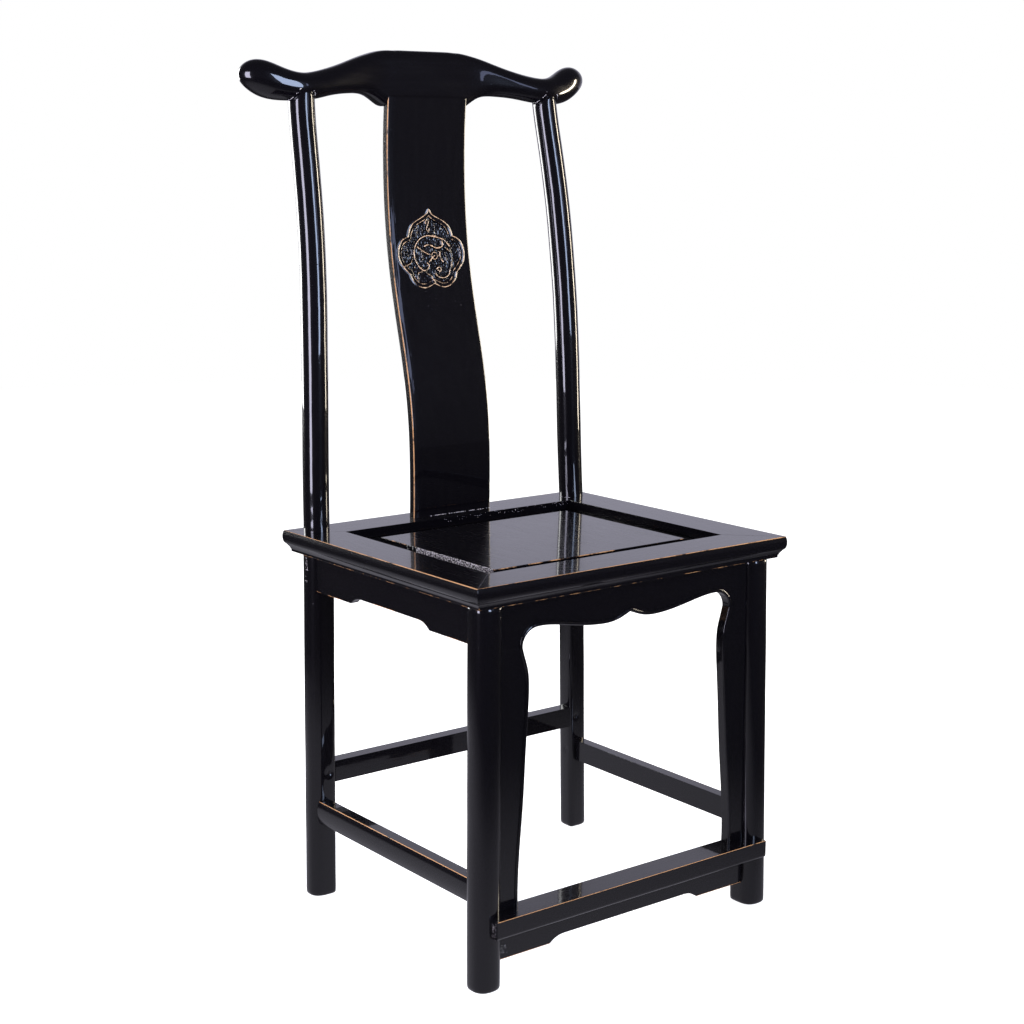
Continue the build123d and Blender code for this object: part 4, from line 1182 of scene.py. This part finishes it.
for hand in ("left", "right"):
    post_points = read_points(finished(f"rear_post_{hand}"))
    for height, carrier, fall in ((seat_top, "seat_rail_rear", DOWN),
                                  (crest_low.z - 2 * MM, "crest_rail", UP)):
        ring = post_points[abs(post_points[:, 2] - height) < POST_BAND]
        middle = (ring.min(axis=0) + ring.max(axis=0)) / 2
        radius = (ring[:, 0].max() - ring[:, 0].min()) / 2 + 0.4 * MM
        for _ in range(CRUMBS_ROUND_POST):
            angle = dice.uniform(math.radians(150), math.radians(330))
            spot = (middle[0] + radius * math.cos(angle), middle[1] + radius * math.sin(angle), height)
            drop_crumbs(finished(carrier), spot, spot, 1, (0.3, 0.3, 0), fall, 1.4)
left_post_low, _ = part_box("rear_post_left")
post_y = seat_rear - 33 * MM
drop_crumbs(finished("rear_post_left"), (left_post_low.x, post_y, seat_under - 4 * MM),
            (left_post_low.x, post_y, seat_under - 42 * MM), 26, (0, 3, 0), TO_RIGHT)
print(len(crumbs), "crumbs so far")

# %% Crumbs on the boards and the splat
bead_z = front_apron_low + 6 * MM
drop_crumbs(bpy.data.objects["front_apron_bead"], (-25 * MM, board_front, bead_z),
            (25 * MM, board_front, bead_z), 60, (0, 0, 8), BACK)
end_z = footrest_high.z - 14 * MM
drop_crumbs(footrest, (footrest_low.x, footrest_low.y + 4 * MM, end_z),
            (footrest_low.x, footrest_low.y + 26 * MM, end_z), 150, (0, 3, 12), TO_RIGHT, 0.55)
board_z = lower_board_low.z + 12 * MM
drop_crumbs(lower_board, (footrest_low.x + 22 * MM, lower_board_low.y, board_z),
            (footrest_low.x + 32 * MM, lower_board_low.y, board_z), 30, (2, 0, 6), BACK, 0.6)
under_medallion_y = 180 * MM
drop_crumbs(splat, (-34 * MM, under_medallion_y, 800 * MM), (30 * MM, under_medallion_y, 780 * MM),
            9, (16, 0, 12), BACK, 0.45)

# %% Join the crumbs
# The joined crumbs carry the wax colour and its painted glints.
pick(*crumbs)
bpy.ops.object.join()
polish = bpy.context.object
polish.name = "old_polish_and_painted_glints"
bpy.ops.object.transform_apply(location=True, rotation=True, scale=True)
bpy.data.objects.remove(crumb)
print(len(crumbs), "crumbs dropped")
hand_over(polish)

# %% [markdown]
# ## Wrinkled lacquer beside the field
#
# Where lacquer runs thick it shrinks into wrinkles as it dries, and polish sticks in them. The left wall of
# the seat's raised field has such a strip. It is a fine grid bent over the wall's upper arris and roughened
# by a noise, with borders that dive into the panel. The faces that stand proudest get the pale wax colour:
# partly dried polish, and partly a painted glint on the faces that catch the light most.

# %% Wrinkled lacquer beside the field
FIELD_WALL = 7 * MM
WRINKLED_SHARE = 0.75
WRINKLE_LAP = 1.6 * MM
WRINKLE_SIZE = 2.1 * MM
WRINKLE_HEIGHT = 0.9 * MM
WRINKLE_BASE = 0.4 * MM
WRINKLE_SUNK = 0.2 * MM

top_points = read_points(panel)
top_points = top_points[top_points[:, 2] > panel_high.z - 0.05 * MM]
(field_x, field_front), field_rear = top_points[:, :2].min(axis=0), top_points[:, 1].max()
wrinkles_end = field_front * (1 - WRINKLED_SHARE) + field_rear * WRINKLED_SHARE

bpy.ops.object.select_all(action="DESELECT")
bpy.ops.mesh.primitive_grid_add(x_subdivisions=10, y_subdivisions=250, size=1.0)
wrinkles = bpy.context.object
wrinkles.name = "wrinkled_lacquer"
places = read_points(wrinkles).astype(float)
along = places[:, 1] + 0.5
climbed = (places[:, 0] + 0.5) * (FIELD_WALL + WRINKLE_LAP)
lap = np.clip(climbed - FIELD_WALL, 0, None)
on_wall = lap == 0
within = lap < WRINKLE_LAP * 0.9
y = field_front + MM + along * (wrinkles_end - field_front)
waves = np.array([noise.noise(Vector((up, ahead, 0)) / WRINKLE_SIZE) for up, ahead in zip(climbed, y)])
proud = crest_of(along - 0.5, 0.5) ** 0.3 * (WRINKLE_BASE + WRINKLE_HEIGHT * waves) * within
places[:, 0] = field_x - RUBBED_ARRIS + lap - np.where(on_wall, proud, WRINKLE_SUNK * within)
places[:, 1] = y
places[:, 2] = panel_high.z - FIELD_WALL + climbed - lap + np.where(on_wall, 0, proud - WRINKLE_SUNK)
move_points(wrinkles, places)
print(f"wrinkles {proud.min() / MM:.1f} to {proud.max() / MM:.1f} mm proud of the wall")

# %% Polish and painted glints in the wrinkles
WAX_AND_GLINT_ABOVE = 0.04
WAX_AND_GLINT_ENDS = 20 * MM

lacquered(wrinkles, "Y")
wrinkles.data.materials.append(wax_and_painted_glints)
wax_and_glint_finish = wrinkles.data.materials.find(wax_and_painted_glints.name)
# The proudest faces get the pale finish: dried polish, and a painted glint where the wrinkles catch the
# light.
for face in wrinkles.data.polygons:
    lift = noise.noise(Vector((face.center.z + face.center.x, face.center.y, 0)) / WRINKLE_SIZE)
    caught = lift > WAX_AND_GLINT_ABOVE and face.center.y < wrinkles_end - WAX_AND_GLINT_ENDS
    face.material_index = wax_and_glint_finish if caught else FINISHES["black"]
pick(wrinkles)
bpy.ops.object.shade_smooth()
hand_over(wrinkles)
